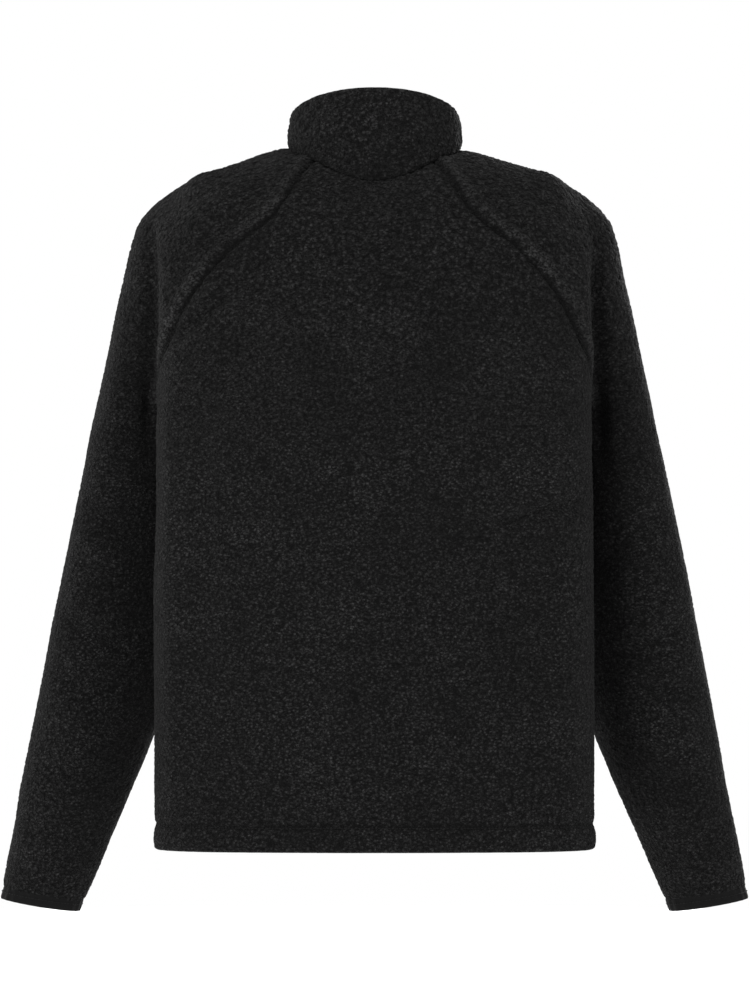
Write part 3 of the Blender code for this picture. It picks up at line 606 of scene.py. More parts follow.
# %% Normals, and the distance to each edge
def normals_of(grid, closed_from=None):
    """Outward directions: the step across, crossed with the step down."""
    down = np.gradient(grid, axis=0)
    across = np.gradient(grid, axis=1)
    if closed_from is not None:
        wrap = grid[closed_from:, 1] - grid[closed_from:, -2]
        across[closed_from:, 0] = across[closed_from:, -1] = wrap / 2
    return unit(np.cross(across, down))


def run_length(grid, axis):
    """How far each point lies from the grid's first edge, measured along the cloth."""
    steps = np.linalg.norm(np.diff(grid, axis=axis), axis=-1)
    zero = np.zeros_like(steps[:1] if axis == 0 else steps[:, :1])
    return np.cumsum(np.concatenate([zero, steps], axis=axis), axis=axis)


def edge_distances(grid):
    """Distances from the top, bottom, first and last edge."""
    fall, width = run_length(grid, 0), run_length(grid, 1)
    return fall, fall[-1] - fall, width, width[:, -1:] - width


# %% [markdown]
# ## Creases placed one by one
# The photo shows no sharp folds: thick pile only rolls into soft ridges and troughs. Cloth simulation
# could make such folds, but not these ones in their places, so each is a row of a table: two ends seen
# from the back or the front, how far its line bows, its width and its height. A bell-shaped profile
# across and an easing at both ends keep it soft.

# %% Ridges and troughs
FOLD_END = 0.3  # share of a fold's length over which each end eases out


def fold_height(points, folds):
    """The sum of all folds, each a bell across its bowed line that eases to nothing at its ends.

    A row holds two ends (x and z), the bow of the line between them, its width and its height.
    """
    x, z = points[..., 0], points[..., 2]
    total = np.zeros(x.shape)
    for x0, z0, x1, z1, bow, width, height in folds:
        run = np.hypot(x1 - x0, z1 - z0)
        share = ((x - x0) * (x1 - x0) + (z - z0) * (z1 - z0)) / run**2
        aside = ((x - x0) * (z1 - z0) - (z - z0) * (x1 - x0)) / run
        inside = np.clip(share, 0, 1)
        aside = aside - bow * 4 * inside * (1 - inside)
        total += height * bell(aside, width) * ease(share / FOLD_END) * ease((1 - share) / FOLD_END)
    return total


# Back view, in metres; +X is on the left of the photo.
BACK_FOLDS = [
    (0.1320, -0.130, 0.2140, -0.196, -0.004, 0.010, 0.0050),  # drag fold below the left raglan seam
    (0.1300, -0.142, 0.2100, -0.206, -0.004, 0.007, -0.0065),
    (0.0900, -0.095, 0.1900, -0.176, 0.006, 0.010, -0.0022),
    (-0.1000, -0.388, -0.2180, -0.352, 0.006, 0.007, -0.0070),  # drag crease at the right side
    (-0.1040, -0.372, -0.2180, -0.338, 0.006, 0.011, 0.0042),
    (-0.0600, -0.395, -0.1150, -0.392, 0.004, 0.016, -0.0030),
    (0.0760, -0.110, 0.0700, -0.280, 0.006, 0.026, 0.0034),  # soft ridges over the shoulder blades
    (0.0020, -0.120, -0.0060, -0.290, -0.004, 0.022, 0.0032),
    (0.0380, -0.130, 0.0340, -0.300, 0.000, 0.018, -0.0026),
    (-0.0550, -0.140, -0.0700, -0.300, 0.006, 0.024, -0.0024),
    (-0.1050, -0.160, -0.1150, -0.330, 0.004, 0.024, 0.0022),
    (0.1300, -0.230, 0.1350, -0.360, 0.003, 0.022, 0.0026),
    (0.1730, -0.230, 0.1720, -0.690, 0.004, 0.014, -0.0028),  # hollow inside the left side's edge
    (0.2000, -0.200, 0.1990, -0.680, -0.002, 0.010, 0.0026),
    (0.0950, -0.420, 0.1010, -0.600, -0.005, 0.022, 0.0028),
    (0.0330, -0.430, 0.0420, -0.660, 0.006, 0.020, 0.0030),
    (0.0680, -0.400, 0.0720, -0.620, 0.000, 0.018, -0.0026),
    (0.0040, -0.330, 0.0060, -0.380, 0.000, 0.016, 0.0028),
    (-0.1050, -0.430, -0.1500, -0.610, 0.010, 0.030, -0.0042),  # broad hollow at the lower right
    (-0.0550, -0.450, -0.0650, -0.640, 0.004, 0.026, 0.0026),
    (-0.1850, -0.420, -0.1900, -0.660, -0.004, 0.020, 0.0030),
    (0.0500, -0.610, 0.0100, -0.690, 0.000, 0.018, -0.0024),
    (0.1250, -0.630, 0.1150, -0.690, 0.000, 0.020, 0.0022),
    (-0.0200, -0.628, -0.0260, -0.690, 0.000, 0.018, 0.0020),
    (-0.1250, -0.640, -0.1350, -0.690, 0.000, 0.018, 0.0022),
]
# The sleeves seen from the back: the crease over the armpit, then the elbow and the forearm.
SLEEVE_BACK_FOLDS = [
    (0.2230, -0.050, 0.2290, -0.330, 0.004, 0.0080, -0.0085),
    (0.2060, -0.046, 0.2130, -0.260, 0.002, 0.0090, 0.0042),
    (0.2450, -0.110, 0.2580, -0.300, -0.004, 0.0120, 0.0024),
    (0.1250, -0.045, 0.1900, -0.100, -0.006, 0.0130, 0.0028),
    (0.1500, -0.040, 0.2100, -0.085, -0.006, 0.0100, -0.0022),
    (0.2250, -0.400, 0.2980, -0.352, 0.004, 0.0120, -0.0030),
    (0.2300, -0.425, 0.3020, -0.378, 0.004, 0.0120, 0.0028),
    (0.2350, -0.500, 0.3180, -0.462, 0.006, 0.0110, -0.0034),
    (0.2400, -0.478, 0.3120, -0.440, 0.004, 0.0130, 0.0026),
    (0.2500, -0.548, 0.3300, -0.520, 0.004, 0.0100, -0.0026),
    (0.2700, -0.590, 0.3400, -0.560, -0.004, 0.0120, 0.0024),
    (0.2680, -0.630, 0.3460, -0.612, 0.004, 0.0100, -0.0026),
    (0.3000, -0.690, 0.3620, -0.668, 0.004, 0.0100, -0.0024),
    (0.2850, -0.560, 0.3100, -0.700, 0.004, 0.0140, 0.0020),
]
SLEEVE_FRONT_FOLDS = [
    (0.1500, -0.080, 0.2150, -0.190, 0.008, 0.014, 0.0030),
    (0.1700, -0.080, 0.2280, -0.170, 0.008, 0.011, -0.0030),
    (0.1950, -0.230, 0.2650, -0.190, 0.004, 0.010, -0.0034),
    (0.2000, -0.262, 0.2750, -0.232, 0.005, 0.011, 0.0030),
    (0.2000, -0.345, 0.2850, -0.325, 0.006, 0.011, -0.0036),
    (0.2050, -0.400, 0.2950, -0.392, 0.006, 0.011, -0.0044),
    (0.2050, -0.424, 0.2980, -0.416, 0.006, 0.012, 0.0038),
    (0.2120, -0.452, 0.3050, -0.462, 0.006, 0.011, -0.0046),
    (0.2200, -0.482, 0.3100, -0.490, 0.005, 0.012, 0.0034),
    (0.2300, -0.522, 0.3150, -0.540, 0.005, 0.010, -0.0032),
    (0.2600, -0.610, 0.3400, -0.632, 0.004, 0.010, -0.0026),
    (0.2900, -0.680, 0.3600, -0.690, 0.004, 0.010, -0.0024),
]
# The front isn't seen: plain drag folds from the underarm and the zip's slight ripple.
FRONT_FOLDS = [
    (0.1900, -0.250, 0.0900, -0.300, 0.008, 0.012, -0.0036),
    (0.1900, -0.275, 0.0950, -0.330, 0.008, 0.013, 0.0030),
    (0.1700, -0.330, 0.0800, -0.370, 0.006, 0.014, -0.0026),
    (0.1400, -0.200, 0.1100, -0.110, 0.004, 0.012, -0.0024),
    (0.0550, -0.120, 0.0600, -0.300, 0.006, 0.020, 0.0026),
    (0.1000, -0.420, 0.1100, -0.640, 0.006, 0.022, 0.0030),
    (0.0500, -0.450, 0.0560, -0.660, 0.004, 0.018, -0.0026),
    (0.1550, -0.420, 0.1600, -0.660, 0.004, 0.018, -0.0030),
    (0.0150, -0.220, 0.0500, -0.226, 0.002, 0.008, -0.0016),
    (0.0150, -0.352, 0.0520, -0.348, 0.002, 0.009, -0.0018),
    (0.0150, -0.470, 0.0480, -0.476, 0.002, 0.009, -0.0015),
    (0.0150, -0.585, 0.0520, -0.580, 0.002, 0.009, -0.0017),
]
print("folds:", len(BACK_FOLDS), len(SLEEVE_BACK_FOLDS), len(SLEEVE_FRONT_FOLDS), len(FRONT_FOLDS))

# %% Slow waves of the cloth, and tufts of pile
WAVE_HEIGHT = 0.0011
TUFT_HEIGHT = 0.0023
SHOULDER_TUFT, BODY_TUFT = 0.0052, 0.0040
SMALL_SHARE, LARGE_SHARE = 0.75, 1.15
LARGE_FROM, LARGE_OVER = -0.32, 0.22  # level above which tufts grow, and over how much height
TUFT_FLATNESS = 1.3  # tufts are wider than they are tall, because the pile lies in rows
UNEVEN, UNEVEN_SIZE = 0.35, 0.05  # how much the tufts' height varies, and over what distance
LONG_WAVE, SHORT_WAVE, SHORT_SHARE = 0.09, 0.04, 0.5
# Any large uneven numbers serve to mix a corner's three coordinates into three scattered ones.
MIXER = np.array([[12.9898, 39.346, 73.156], [78.233, 11.135, 52.235], [37.719, 83.155, 9.151]])
LARGE_SINE = 43758.5453


def scatter(corners, seed):
    """A fixed number from 0 to 1 for each lattice corner and axis: the broken part of a large sine."""
    return np.mod(np.sin(corners @ MIXER + seed) * LARGE_SINE, 1)


def waves(points, size, seed):
    """Smooth noise between -1 and 1: lattice values, blended by eased distance along each axis."""
    place = points / size
    cell = np.floor(place)
    t = ease(place - cell)
    total = np.zeros(place.shape[:-1])
    for step in product((0, 1), repeat=3):
        share = np.prod(np.where(np.array(step) == 1, t, 1 - t), axis=-1)
        total += share * scatter(cell + step, seed)[..., 0]
    return total * 2 - 1


def tufts(points, size, seed):
    """Domes: 1 over each tuft's middle, falling with the squared distance to the nearest middle."""
    place = points * (1, 1, TUFT_FLATNESS) / size
    cell = np.floor(place)
    nearest = np.full(place.shape[:-1], 9.0)
    for step in product((-1, 0, 1), repeat=3):
        corner = cell + step
        middle = corner + scatter(corner, seed)
        nearest = np.minimum(nearest, ((place - middle) ** 2).sum(-1))
    return 1 - np.minimum(nearest, 1)


def pile(points, seed):
    """Height and tuft share: tufts of two sizes, the larger on the shoulders, over slow waves."""
    high = ease((points[..., 2] - LARGE_FROM) / LARGE_OVER)
    small = tufts(points, BODY_TUFT, seed)
    large = tufts(points, SHOULDER_TUFT, seed + 5)
    tuft = small * SMALL_SHARE * (1 - high) + large * LARGE_SHARE * high
    strength = 1 + UNEVEN * waves(points, UNEVEN_SIZE, seed + 1)
    slow = waves(points, LONG_WAVE, seed + 2) + SHORT_SHARE * waves(points, SHORT_WAVE, seed + 3)
    return TUFT_HEIGHT * (tuft - 0.5) * strength + WAVE_HEIGHT * slow, tuft


# %% [markdown]
# ## Panels as shells
# A fleece panel is a wall about 4 mm thick. Solidify would double a fine mesh, so the inner side is
# built here from every third point of the outer one, and a rim of polygons joins the two. At sewn
# edges the pile rolls down into the seam; at a folded edge the wall closes in a half round.

# %% Wall builder
FLEECE = 0.004
SEAM_ROLL = 0.0024  # how deep the pile dips at a sewn edge
SEAM_REACH = 0.0030
RIDGE_AWAY, RIDGE_WIDTH = 0.010, 0.006  # the ridge that the pile forms beside a seam
HIGHLIGHT_AWAY, HIGHLIGHT_WIDTH = 0.009, 0.005  # the painted highlight along that ridge
PUCKER = 0.0016  # how far the clumps push the seam's dip aside
PUCKER_SIZE = 0.011
SEAM_PAINTED_SHADE = 1.3  # how far the tuft share falls in the dip: painted shade
ROUNDNESS = 0.9  # a folded edge's share of a true half round
BODY_RIDGE, NECK_RIDGE, SLEEVE_NECK_RIDGE = 0.0003, 0.0004, 0.0006
NECK_ROLL = 0.45  # share of that dip at the collar seam, which the doubled collar fills


def puckered(distance, points, seed):
    """Distance to a seam, made uneven: the pile is caught in it by clumps of about a centimetre."""
    return np.maximum(distance + PUCKER * waves(points, PUCKER_SIZE, seed), 0)


def seam_profile(distance, ridge):
    """The outer side near a sewn edge: a bell-shaped dip, and a low ridge 10 mm away."""
    return -SEAM_ROLL * bell(distance, SEAM_REACH) + ridge * bell(distance - RIDGE_AWAY, RIDGE_WIDTH)


def seam_shade(distance, light=0.0):
    """What a sewn edge takes off the tuft share: painted shade in the dip, a painted highlight on the ridge
    beside it.
    """
    return SEAM_PAINTED_SHADE * bell(distance, SEAM_REACH) - light * bell(distance - HIGHLIGHT_AWAY, HIGHLIGHT_WIDTH)


def rounding(distance, thickness):
    """How much a folded edge has closed in: a half round whose radius is half the wall."""
    near = np.clip(1 - distance / (thickness / 2), 0, 1)
    return thickness / 2 * (1 - np.sqrt(1 - near**2)) * ROUNDNESS


def boundary(ids, welded_from):
    """Closed runs of point numbers round a grid, in the direction of its faces."""
    if welded_from is None:
        return [np.concatenate([ids[0, :-1], ids[:-1, -1], ids[-1, :0:-1], ids[:0:-1, 0]])]
    upper = np.concatenate([ids[0, :-1], ids[:welded_from, -1], ids[welded_from:0:-1, 0]])
    return [upper, ids[-1, :0:-1]]


def cloth_wall(name, outer, inner, tuft, welded_from=None):
    """A closed shell: fine outer quads, inner quads through every third point, polygons on the rim.

    Each point keeps its tuft share as an attribute; the finish paints shade into the gaps from it.
    """
    rows, columns = outer.shape[:2]
    ids = np.arange(rows * columns).reshape(rows, columns)
    sparse_rows, sparse_columns = ids[::3, ::3].shape
    inner_ids = rows * columns + np.arange(sparse_rows * sparse_columns).reshape(sparse_rows, -1)
    if welded_from is not None:
        ids[welded_from:, -1] = ids[welded_from:, 0]
        inner_ids[welded_from // 3 :, -1] = inner_ids[welded_from // 3 :, 0]
    points = np.vstack([outer.reshape(-1, 3), inner[::3, ::3].reshape(-1, 3)])

    def quads(grid):
        """One quad for each cell of a grid of point numbers."""
        return np.stack([grid[:-1, :-1], grid[:-1, 1:], grid[1:, 1:], grid[1:, :-1]], -1).reshape(-1, 4)

    faces = [quads(ids), quads(inner_ids)[:, ::-1]]
    coarse = None if welded_from is None else welded_from // 3
    rims = []
    for fine, sparse in zip(boundary(ids, welded_from), boundary(inner_ids, coarse)):
        after = np.append(fine, fine[0])
        start = np.arange(0, len(fine), 3)
        far = np.append(sparse, sparse[0])
        steps = [after[start + 3], after[start + 2], after[start + 1], after[start], far[:-1], far[1:]]
        rims.append(np.stack(steps, axis=1))
    faces.append(np.concatenate(rims))
    used, flat = np.unique(np.concatenate([face.ravel() for face in faces]), return_inverse=True)
    split = np.cumsum([face.size for face in faces])[:-1]
    polygons = []
    for part, face in zip(np.split(flat, split), faces):
        polygons += part.reshape(face.shape).tolist()
    piece = new_piece(name, points[used], polygons)
    shares = np.concatenate([tuft.ravel(), np.full(inner_ids.size, 0.5)])
    piece.data.attributes.new("tuft", "FLOAT", "POINT").data.foreach_set("value", shares[used])
    return piece


def new_piece(name, points, faces, smooth=True):
    """A mesh object at the origin from points and faces."""
    mesh = bpy.data.meshes.new(name)
    mesh.from_pydata(np.asarray(points).tolist(), [], faces)
    mesh.polygons.foreach_set("use_smooth", np.full(len(mesh.polygons), smooth))
    mesh.update()
    piece = bpy.data.objects.new(name, mesh)
    bpy.context.scene.collection.objects.link(piece)
    return piece


def triangles(piece):
    """How many triangles a piece's faces make."""
    sizes = np.zeros(len(piece.data.polygons), int)
    piece.data.polygons.foreach_get("loop_total", sizes)
    return int((sizes - 2).sum())


# %% Which side of the body a point faces
TURN_STEEPNESS = 1.2


def facing(normals):
    """1 where the cloth faces backwards, 0 where it faces forwards, and a soft step between."""
    return ease(0.5 + normals[..., 1] * TURN_STEEPNESS)


# %% The back
FADE_REACH, FADE_LEAST = 0.02, 0.15
HEM_TURNING = 0.025
HEM_CLOTH = 0.0065
HEM_STEP = 0.004  # height over which the wall thickens into the turning
STITCH_GROOVE = 0.0018
# painted shade in the hem's stitch groove: how far the tuft share falls there, and over what width
STITCH_GROOVE_SHADE = 0.6
GROOVE_WIDTH, SHADE_WIDTH = 0.0032, 0.0028
HEM_PUFF, PUFF_MIDDLE, PUFF_WIDTH = 0.0014, 0.011, 0.008


def hem_profile(from_hem):
    """The stitch line pulls the cloth in; the turned part below it puffs out."""
    groove = -STITCH_GROOVE * bell(from_hem - HEM_TURNING, GROOVE_WIDTH)
    return groove + HEM_PUFF * bell(from_hem - PUFF_MIDDLE, PUFF_WIDTH)


def faded(lift, *distances):
    """Fold heights that shrink to a small share near the edges, where the seams hold the cloth."""
    return lift * np.maximum(ease(np.min(distances, axis=0) / FADE_REACH), FADE_LEAST)


def body_shell(grid, lift, seam_left, seam_right, seed):
    """A body panel's outer and inner points: folds move both, pile and seams only the outer side."""
    normals = normals_of(grid)
    top, bottom, left, right = edge_distances(grid)
    body = grid + normals * faded(lift, left, right, top, bottom)[..., None]
    height, tuft = pile(grid, seed)
    height = height + hem_profile(bottom) + seam_profile(top, NECK_RIDGE) * NECK_ROLL
    # The tuft share takes painted shade in the dips of the sewn edges.
    tuft = tuft - seam_shade(top) * NECK_ROLL
    for edge, is_seam in ((left, seam_left), (right, seam_right)):
        beside = puckered(edge, grid, seed + 7)
        height = height + (seam_profile(beside, BODY_RIDGE) if is_seam else -rounding(beside, FLEECE))
        tuft = tuft - (seam_shade(beside) if is_seam else 0)
    # Painted shade in the stitch groove above the hem.
    tuft = tuft - STITCH_GROOVE_SHADE * bell(bottom - HEM_TURNING, SHADE_WIDTH)
    depth = FLEECE + (HEM_CLOTH - FLEECE) * (1 - ease((bottom - HEM_TURNING) / HEM_STEP + 1))
    fold_in = rounding(bottom, HEM_CLOTH)
    outer = body + normals * (height - fold_in)[..., None]
    inner = body - normals * (depth - fold_in)[..., None]
    return outer, inner, normals, tuft


outer, inner, normals, tuft = body_shell(back, fold_height(back, BACK_FOLDS), True, True, 11.0)
back_side = outer, normals
back_cloth = cloth_wall("back_fleece", outer, inner, tuft)
print("back:", triangles(back_cloth), "triangles")

# %% The fronts
RIGHT_SHIFT = np.array([0.0, 0.0, -0.006])  # the right side's folds sit a little lower
RIGHT_SHARE = 0.9  # and are a little flatter
right_front = mirrored(front)
right_lift = fold_height(right_front * (-1, 1, 1) - RIGHT_SHIFT, FRONT_FOLDS) * RIGHT_SHARE
fronts = {}
for side, grid, lift, seed in (
    ("left", front, fold_height(front, FRONT_FOLDS), 23.0),
    ("right", right_front, right_lift, 29.0),
):
    outer, inner, normals, tuft = body_shell(grid, lift, side == "left", side == "right", seed)
    fronts[side] = outer, normals
    fronts[side + "_cloth"] = cloth_wall(f"front_{side}_fleece", outer, inner, tuft)
print("front:", triangles(fronts["left_cloth"]), "triangles each")

# %% The sleeves
SLEEVE_RIDGE = 0.0026  # the sleeve's pile stands over the raglan seam
# how strongly the ridge beside a raglan seam gets its painted highlight
RIDGE_HIGHLIGHT = 0.9
CUFF_DIP = 0.0016  # how far the cuff's binding draws the pile in
UNDERARM_SHARE = 0.6  # depth of the underarm seam's dip, beside the raglan's


def sleeve_shell(grid, backs, fronts_of, seed):
    """A sleeve's outer and inner points, with its folds read from the back and from the front."""
    normals = normals_of(grid, SEAM_ROW)
    top, bottom, left, right = edge_distances(grid)
    share = facing(normals)
    lift = fold_height(grid, backs) * share + fold_height(grid, fronts_of) * (1 - share)
    beside = np.minimum(left, right)
    body = grid + normals * faded(lift, beside, top, bottom)[..., None]
    height, tuft = pile(grid, seed)
    beside = puckered(beside, grid, seed + 7)
    height = height + seam_profile(top, SLEEVE_NECK_RIDGE) * NECK_ROLL
    open_rows = np.arange(len(grid))[:, None] < SEAM_ROW
    underarm = UNDERARM_SHARE * seam_profile(beside, 0)
    height = height + np.where(open_rows, seam_profile(beside, SLEEVE_RIDGE), underarm)
    height = height - CUFF_DIP * bell(bottom, FLEECE)
    # The tuft share takes painted shade in the seams' dips and a painted highlight on the raglan ridges.
    tuft = tuft - seam_shade(top) * NECK_ROLL
    tuft = tuft - np.where(open_rows, seam_shade(beside, RIDGE_HIGHLIGHT), UNDERARM_SHARE * seam_shade(beside))
    outer = body + normals * height[..., None]
    inner = body - normals * FLEECE
    for points in (outer, inner):
        points[SEAM_ROW:, -1] = points[SEAM_ROW:, 0]
    return outer, inner, tuft


def flipped(folds, shift, share):
    """A fold table for the other side of the body, moved up or down, its heights times a share."""
    return [(-x0, z0 + shift, -x1, z1 + shift, -bow, width, height * share)
            for x0, z0, x1, z1, bow, width, height in folds]


sleeves = {}
for side, grid, backs, fronts_of, seed in (
    ("left", sleeve, SLEEVE_BACK_FOLDS, SLEEVE_FRONT_FOLDS, 37.0),
    ("right", mirrored(sleeve), flipped(SLEEVE_BACK_FOLDS, -0.009, 1.1),
     flipped(SLEEVE_FRONT_FOLDS, -0.011, 0.9), 41.0),
):
    outer, inner, tuft = sleeve_shell(grid, backs, fronts_of, seed)
    sleeves[side + "_cloth"] = cloth_wall(f"sleeve_{side}_fleece", outer, inner, tuft, SEAM_ROW)
print("sleeve:", triangles(sleeves["left_cloth"]), "triangles each")

# %% [markdown]
# ## The stand collar
# A collar is one strip folded double along its top edge, so it has no seam there: the two layers turn
# over in a soft round. It leans a little inwards and sits on the neck seam. The centre back is slightly
# hollow, as the doubled cloth relaxes between the two shoulder ends.

# %% Collar
COLLAR_CLOTH = 0.006
COLLAR_ROWS = 27
COLLAR_STEPS = 9
ROW_SPREAD = 1.25  # rows stand closer together towards the top edge
COLLAR_FACING = 1.15  # the neck is less deep than wide, so its normals lean to the back and front
COLLAR_BELLY = 0.0016
COLLAR_CALM = 0.012  # depth below the top edge over which its folds begin
CLOSED_IN = 0.46  # most of the wall that an edge may close in by, on each side
COLLAR_FOLDS = [
    (0.0040, 0.055, 0.0080, -0.020, 0.002, 0.016, -0.0020),
    (0.0420, 0.050, 0.0380, -0.012, 0.002, 0.012, 0.0014),
    (-0.0380, 0.050, -0.0440, -0.010, -0.002, 0.013, 0.0015),
    (0.0640, 0.040, 0.0660, -0.004, 0.000, 0.008, -0.0012),
    (-0.0660, 0.040, -0.0620, -0.004, 0.000, 0.008, -0.0010),
]


def collar_form():
    """Rows from the top edge down, each a blend of the top ellipse and the neck seam."""
    end = math.pi - math.asin(ZIP_HALF_GAP / NECK_HALF_WIDTH)
    turn = np.linspace(-end, end, COLLAR_COLUMNS * COLLAR_STEPS + 1)
    coarse = np.linspace(-end, end, COLLAR_COLUMNS + 1)
    even = np.arange(len(turn)) / COLLAR_STEPS
    base = spline(neck_point(coarse), even) + (0, 0, SEAM_GAP)
    drop = COLLAR_TOP_DROP * (1 - np.cos(turn)) / 2
    top = np.stack([
        COLLAR_TOP_HALF_WIDTH * np.sin(turn),
        COLLAR_TOP_Y + COLLAR_TOP_HALF_DEPTH * np.cos(turn),
        COLLAR_BACK_TOP_Z - drop,
    ], axis=-1)
    for edge in (base, top):
        edge[0, 0], edge[-1, 0] = -ZIP_HALF_GAP, ZIP_HALF_GAP
    height = 1 - np.linspace(0, 1, COLLAR_ROWS + 1) ** ROW_SPREAD
    grid = base + (top - base) * height[:, None, None]
    normals = unit(np.stack([np.sin(turn), np.cos(turn) * COLLAR_FACING, 0 * turn], axis=-1))
    return grid, np.broadcast_to(normals, grid.shape)


collar_grid, collar_normals = collar_form()
top, bottom, left, right = edge_distances(collar_grid)
belly = COLLAR_BELLY * np.sin(np.pi * np.clip(bottom / (top + bottom), 0, 1))
fold_in = rounding(top, COLLAR_CLOTH) + rounding(np.minimum(left, right), COLLAR_CLOTH)
fold_in = np.minimum(fold_in, COLLAR_CLOTH * CLOSED_IN)
lift = fold_height(collar_grid, COLLAR_FOLDS) * facing(collar_normals) * ease(top / COLLAR_CALM)
body = collar_grid + collar_normals * (lift + belly)[..., None]
height, collar_tuft = pile(collar_grid, 53.0)
height = height + seam_profile(bottom, NECK_RIDGE) * NECK_ROLL
collar_outer = body + collar_normals * (height - fold_in)[..., None]
collar_inner = body - collar_normals * (COLLAR_CLOTH - fold_in)[..., None]
collar_cloth = cloth_wall("collar_fleece", collar_outer, collar_inner, collar_tuft)
print("collar:", triangles(collar_cloth), "triangles")

# %% [markdown]
# ## Elastic cuffs
# The sleeve ends in a narrow bound elastic: one band folded over the raw edge. It is smoother and a
# little darker than the pile, and the stretch it was sewn with leaves small gathers. A closed profile is
# carried round the sleeve's last ring.

# %% Cuff bindings
BINDING = 0.003
CUFF_INSET = 0.0004
CUFF_SQUARENESS = 0.45
GATHERS = 22
GATHER_HEIGHT = 0.00035
GATHER_DRIFT = 1.3  # how unevenly the gathers are spaced
CUFF_AROUND, CUFF_PROFILE = 360, 28
BINDING_LAP = 0.0034  # how far the binding reaches up into the sleeve's end


def signed_power(value, power):
    """A value's size raised to a power, with its sign kept; a low power squares a circle."""
    return np.sign(value) * np.abs(value) ** power


def cuff_band(grid_end, earlier):
    """A rounded flat profile (a superellipse) carried round the sleeve's end, with small gathers."""
    centre = grid_end[:-1].mean(0)
    along_arm = unit(centre - earlier[:-1].mean(0))
    ring = spaced([grid_end], CUFF_AROUND + 1)[0][:-1]
    outwards = unit(ring - centre)
    turn = np.linspace(0, 2 * math.pi, CUFF_PROFILE + 1)[:-1]
    width = signed_power(np.cos(turn), CUFF_SQUARENESS) * BINDING / 2
    length = signed_power(np.sin(turn), CUFF_SQUARENESS) * (BINDING_WIDTH + BINDING_LAP) / 2
    around = np.linspace(0, 2 * math.pi, CUFF_AROUND, endpoint=False)
    gather = GATHER_HEIGHT * np.sin(GATHERS * around + GATHER_DRIFT * np.sin(3 * around))
    below = (BINDING_WIDTH - BINDING_LAP) / 2 + 2 * SEAM_GAP
    middle = ring - outwards * (BINDING / 2 + CUFF_INSET) + along_arm * below
    across = outwards[:, None] * (width + gather[:, None] * (width > 0))[..., None]
    return middle[:, None] + across + along_arm * length[None, :, None]


def closed_tube(name, rings, closed_along=True):
    """Quads through rings of points, every ring closed; open tubes get a flat face at each end."""
    rows, columns = rings.shape[:2]
    ids = np.arange(rows * columns).reshape(rows, columns)
    next_ids = np.roll(ids, -1, axis=0) if closed_along else ids[1:]
    here = ids if closed_along else ids[:-1]
    faces = np.stack([here, next_ids, np.roll(next_ids, -1, 1), np.roll(here, -1, 1)], -1)
    polygons = faces.reshape(-1, 4).tolist()
    if not closed_along:
        polygons += [ids[0].tolist(), ids[-1, ::-1].tolist()]
    return new_piece(name, rings.reshape(-1, 3), polygons)


def turned_out(piece):
    """Turns a closed piece's faces outwards, where its volume says that they point in."""
    mesh = piece.data
    mesh.calc_loop_triangles()
    corners = np.empty(len(mesh.loop_triangles) * 3, int)
    mesh.loop_triangles.foreach_get("vertices", corners)
    points = np.empty(len(mesh.vertices) * 3)
    mesh.vertices.foreach_get("co", points)
    a, b, c = np.moveaxis(points.reshape(-1, 3)[corners.reshape(-1, 3)], 1, 0)
    if (np.cross(a, b) * c).sum() < 0:
        mesh.flip_normals()
    return piece


def stacked(name, points, smooth=True):
    """Many small closed bodies in one mesh: stacks of rings, quads between, a face at each end."""
    ids = np.arange(points[..., 0].size).reshape(points.shape[:3])
    a, b = ids[:, :-1], ids[:, 1:]
    sides = np.stack([a, b, np.roll(b, -1, 2), np.roll(a, -1, 2)], -1).reshape(-1, 4)
    faces = sides.tolist() + ids[:, 0].tolist() + ids[:, -1, ::-1].tolist()
    return turned_out(new_piece(name, points.reshape(-1, 3), faces, smooth=smooth))


cuffs = {}
end_ring, earlier_ring = sleeve_loop(1.0), sleeve_loop(0.97)
band = cuff_band(end_ring, earlier_ring)
cuffs["left"] = turned_out(closed_tube("cuff_left_elastic", band))
cuffs["right"] = turned_out(closed_tube("cuff_right_elastic", band * (-1, 1, 1)))
print("cuff:", triangles(cuffs["left"]), "triangles each")

# %% [markdown]
# ## The front zip
# Behind the fronts' edges runs a woven tape, and on it sit moulded teeth. Each tooth is a small waisted
# block whose head locks between two teeth of the other side, so both rows are one outline repeated
# along the same path, half a pitch apart. An array modifier would do for a straight zip; here the path
# follows the chest and the collar, so the copies are placed with numpy.

# %% The zip's path
TEETH_DEPTH = 0.0018
TAPE_WIDTH = 0.015
TAPE_CLOTH = 0.0008
TAPE_TOP = 0.010
TAPE_BOTTOM = 0.003
COLLAR_BEND = 0.090
FRONT_BEND = 0.240
BEND_FROM, BEND_OVER = 0.045, 0.025  # below the front's top edge, where the bend passes to the collar's


def zip_path(count):
    """Points down the front (y and z), the wall in front of the tape, and the share in the collar."""
    edge = coarse_front[:, -1]
    base = neck_point(np.array([math.pi - math.asin(ZIP_HALF_GAP / NECK_HALF_WIDTH)]))[0]
    path = np.vstack([collar_grid[0, -1], base + (0, 0, SEAM_GAP), edge])[:, 1:]
    lengths = lengths_along(path)
    wanted = np.linspace(TAPE_TOP, lengths[-1] - TAPE_BOTTOM, count)
    path = read(path, lengths, wanted)
    in_collar = ease((path[:, 1] - edge[0, 2] + BEND_FROM) / BEND_OVER)
    wall = np.interp(path[:, 1] - HEM_Z, (HEM_TURNING, HEM_TURNING * 1.3), (HEM_CLOTH, FLEECE))
    wall = wall + (COLLAR_CLOTH - FLEECE) * in_collar + 2 * SEAM_GAP
    return path, wall, in_collar, wanted


TAPE_ROWS = 420
path, wall, in_collar, run = zip_path(TAPE_ROWS)
tangent = unit(np.gradient(path, axis=0))
inwards = np.stack([-tangent[:, 1], tangent[:, 0]], axis=1)
print("zip:", round(float(run[-1] - run[0]), 4), "m long")

# %% Tapes
TAPE_COLUMNS = 17
RIB_HEIGHT = 0.0001


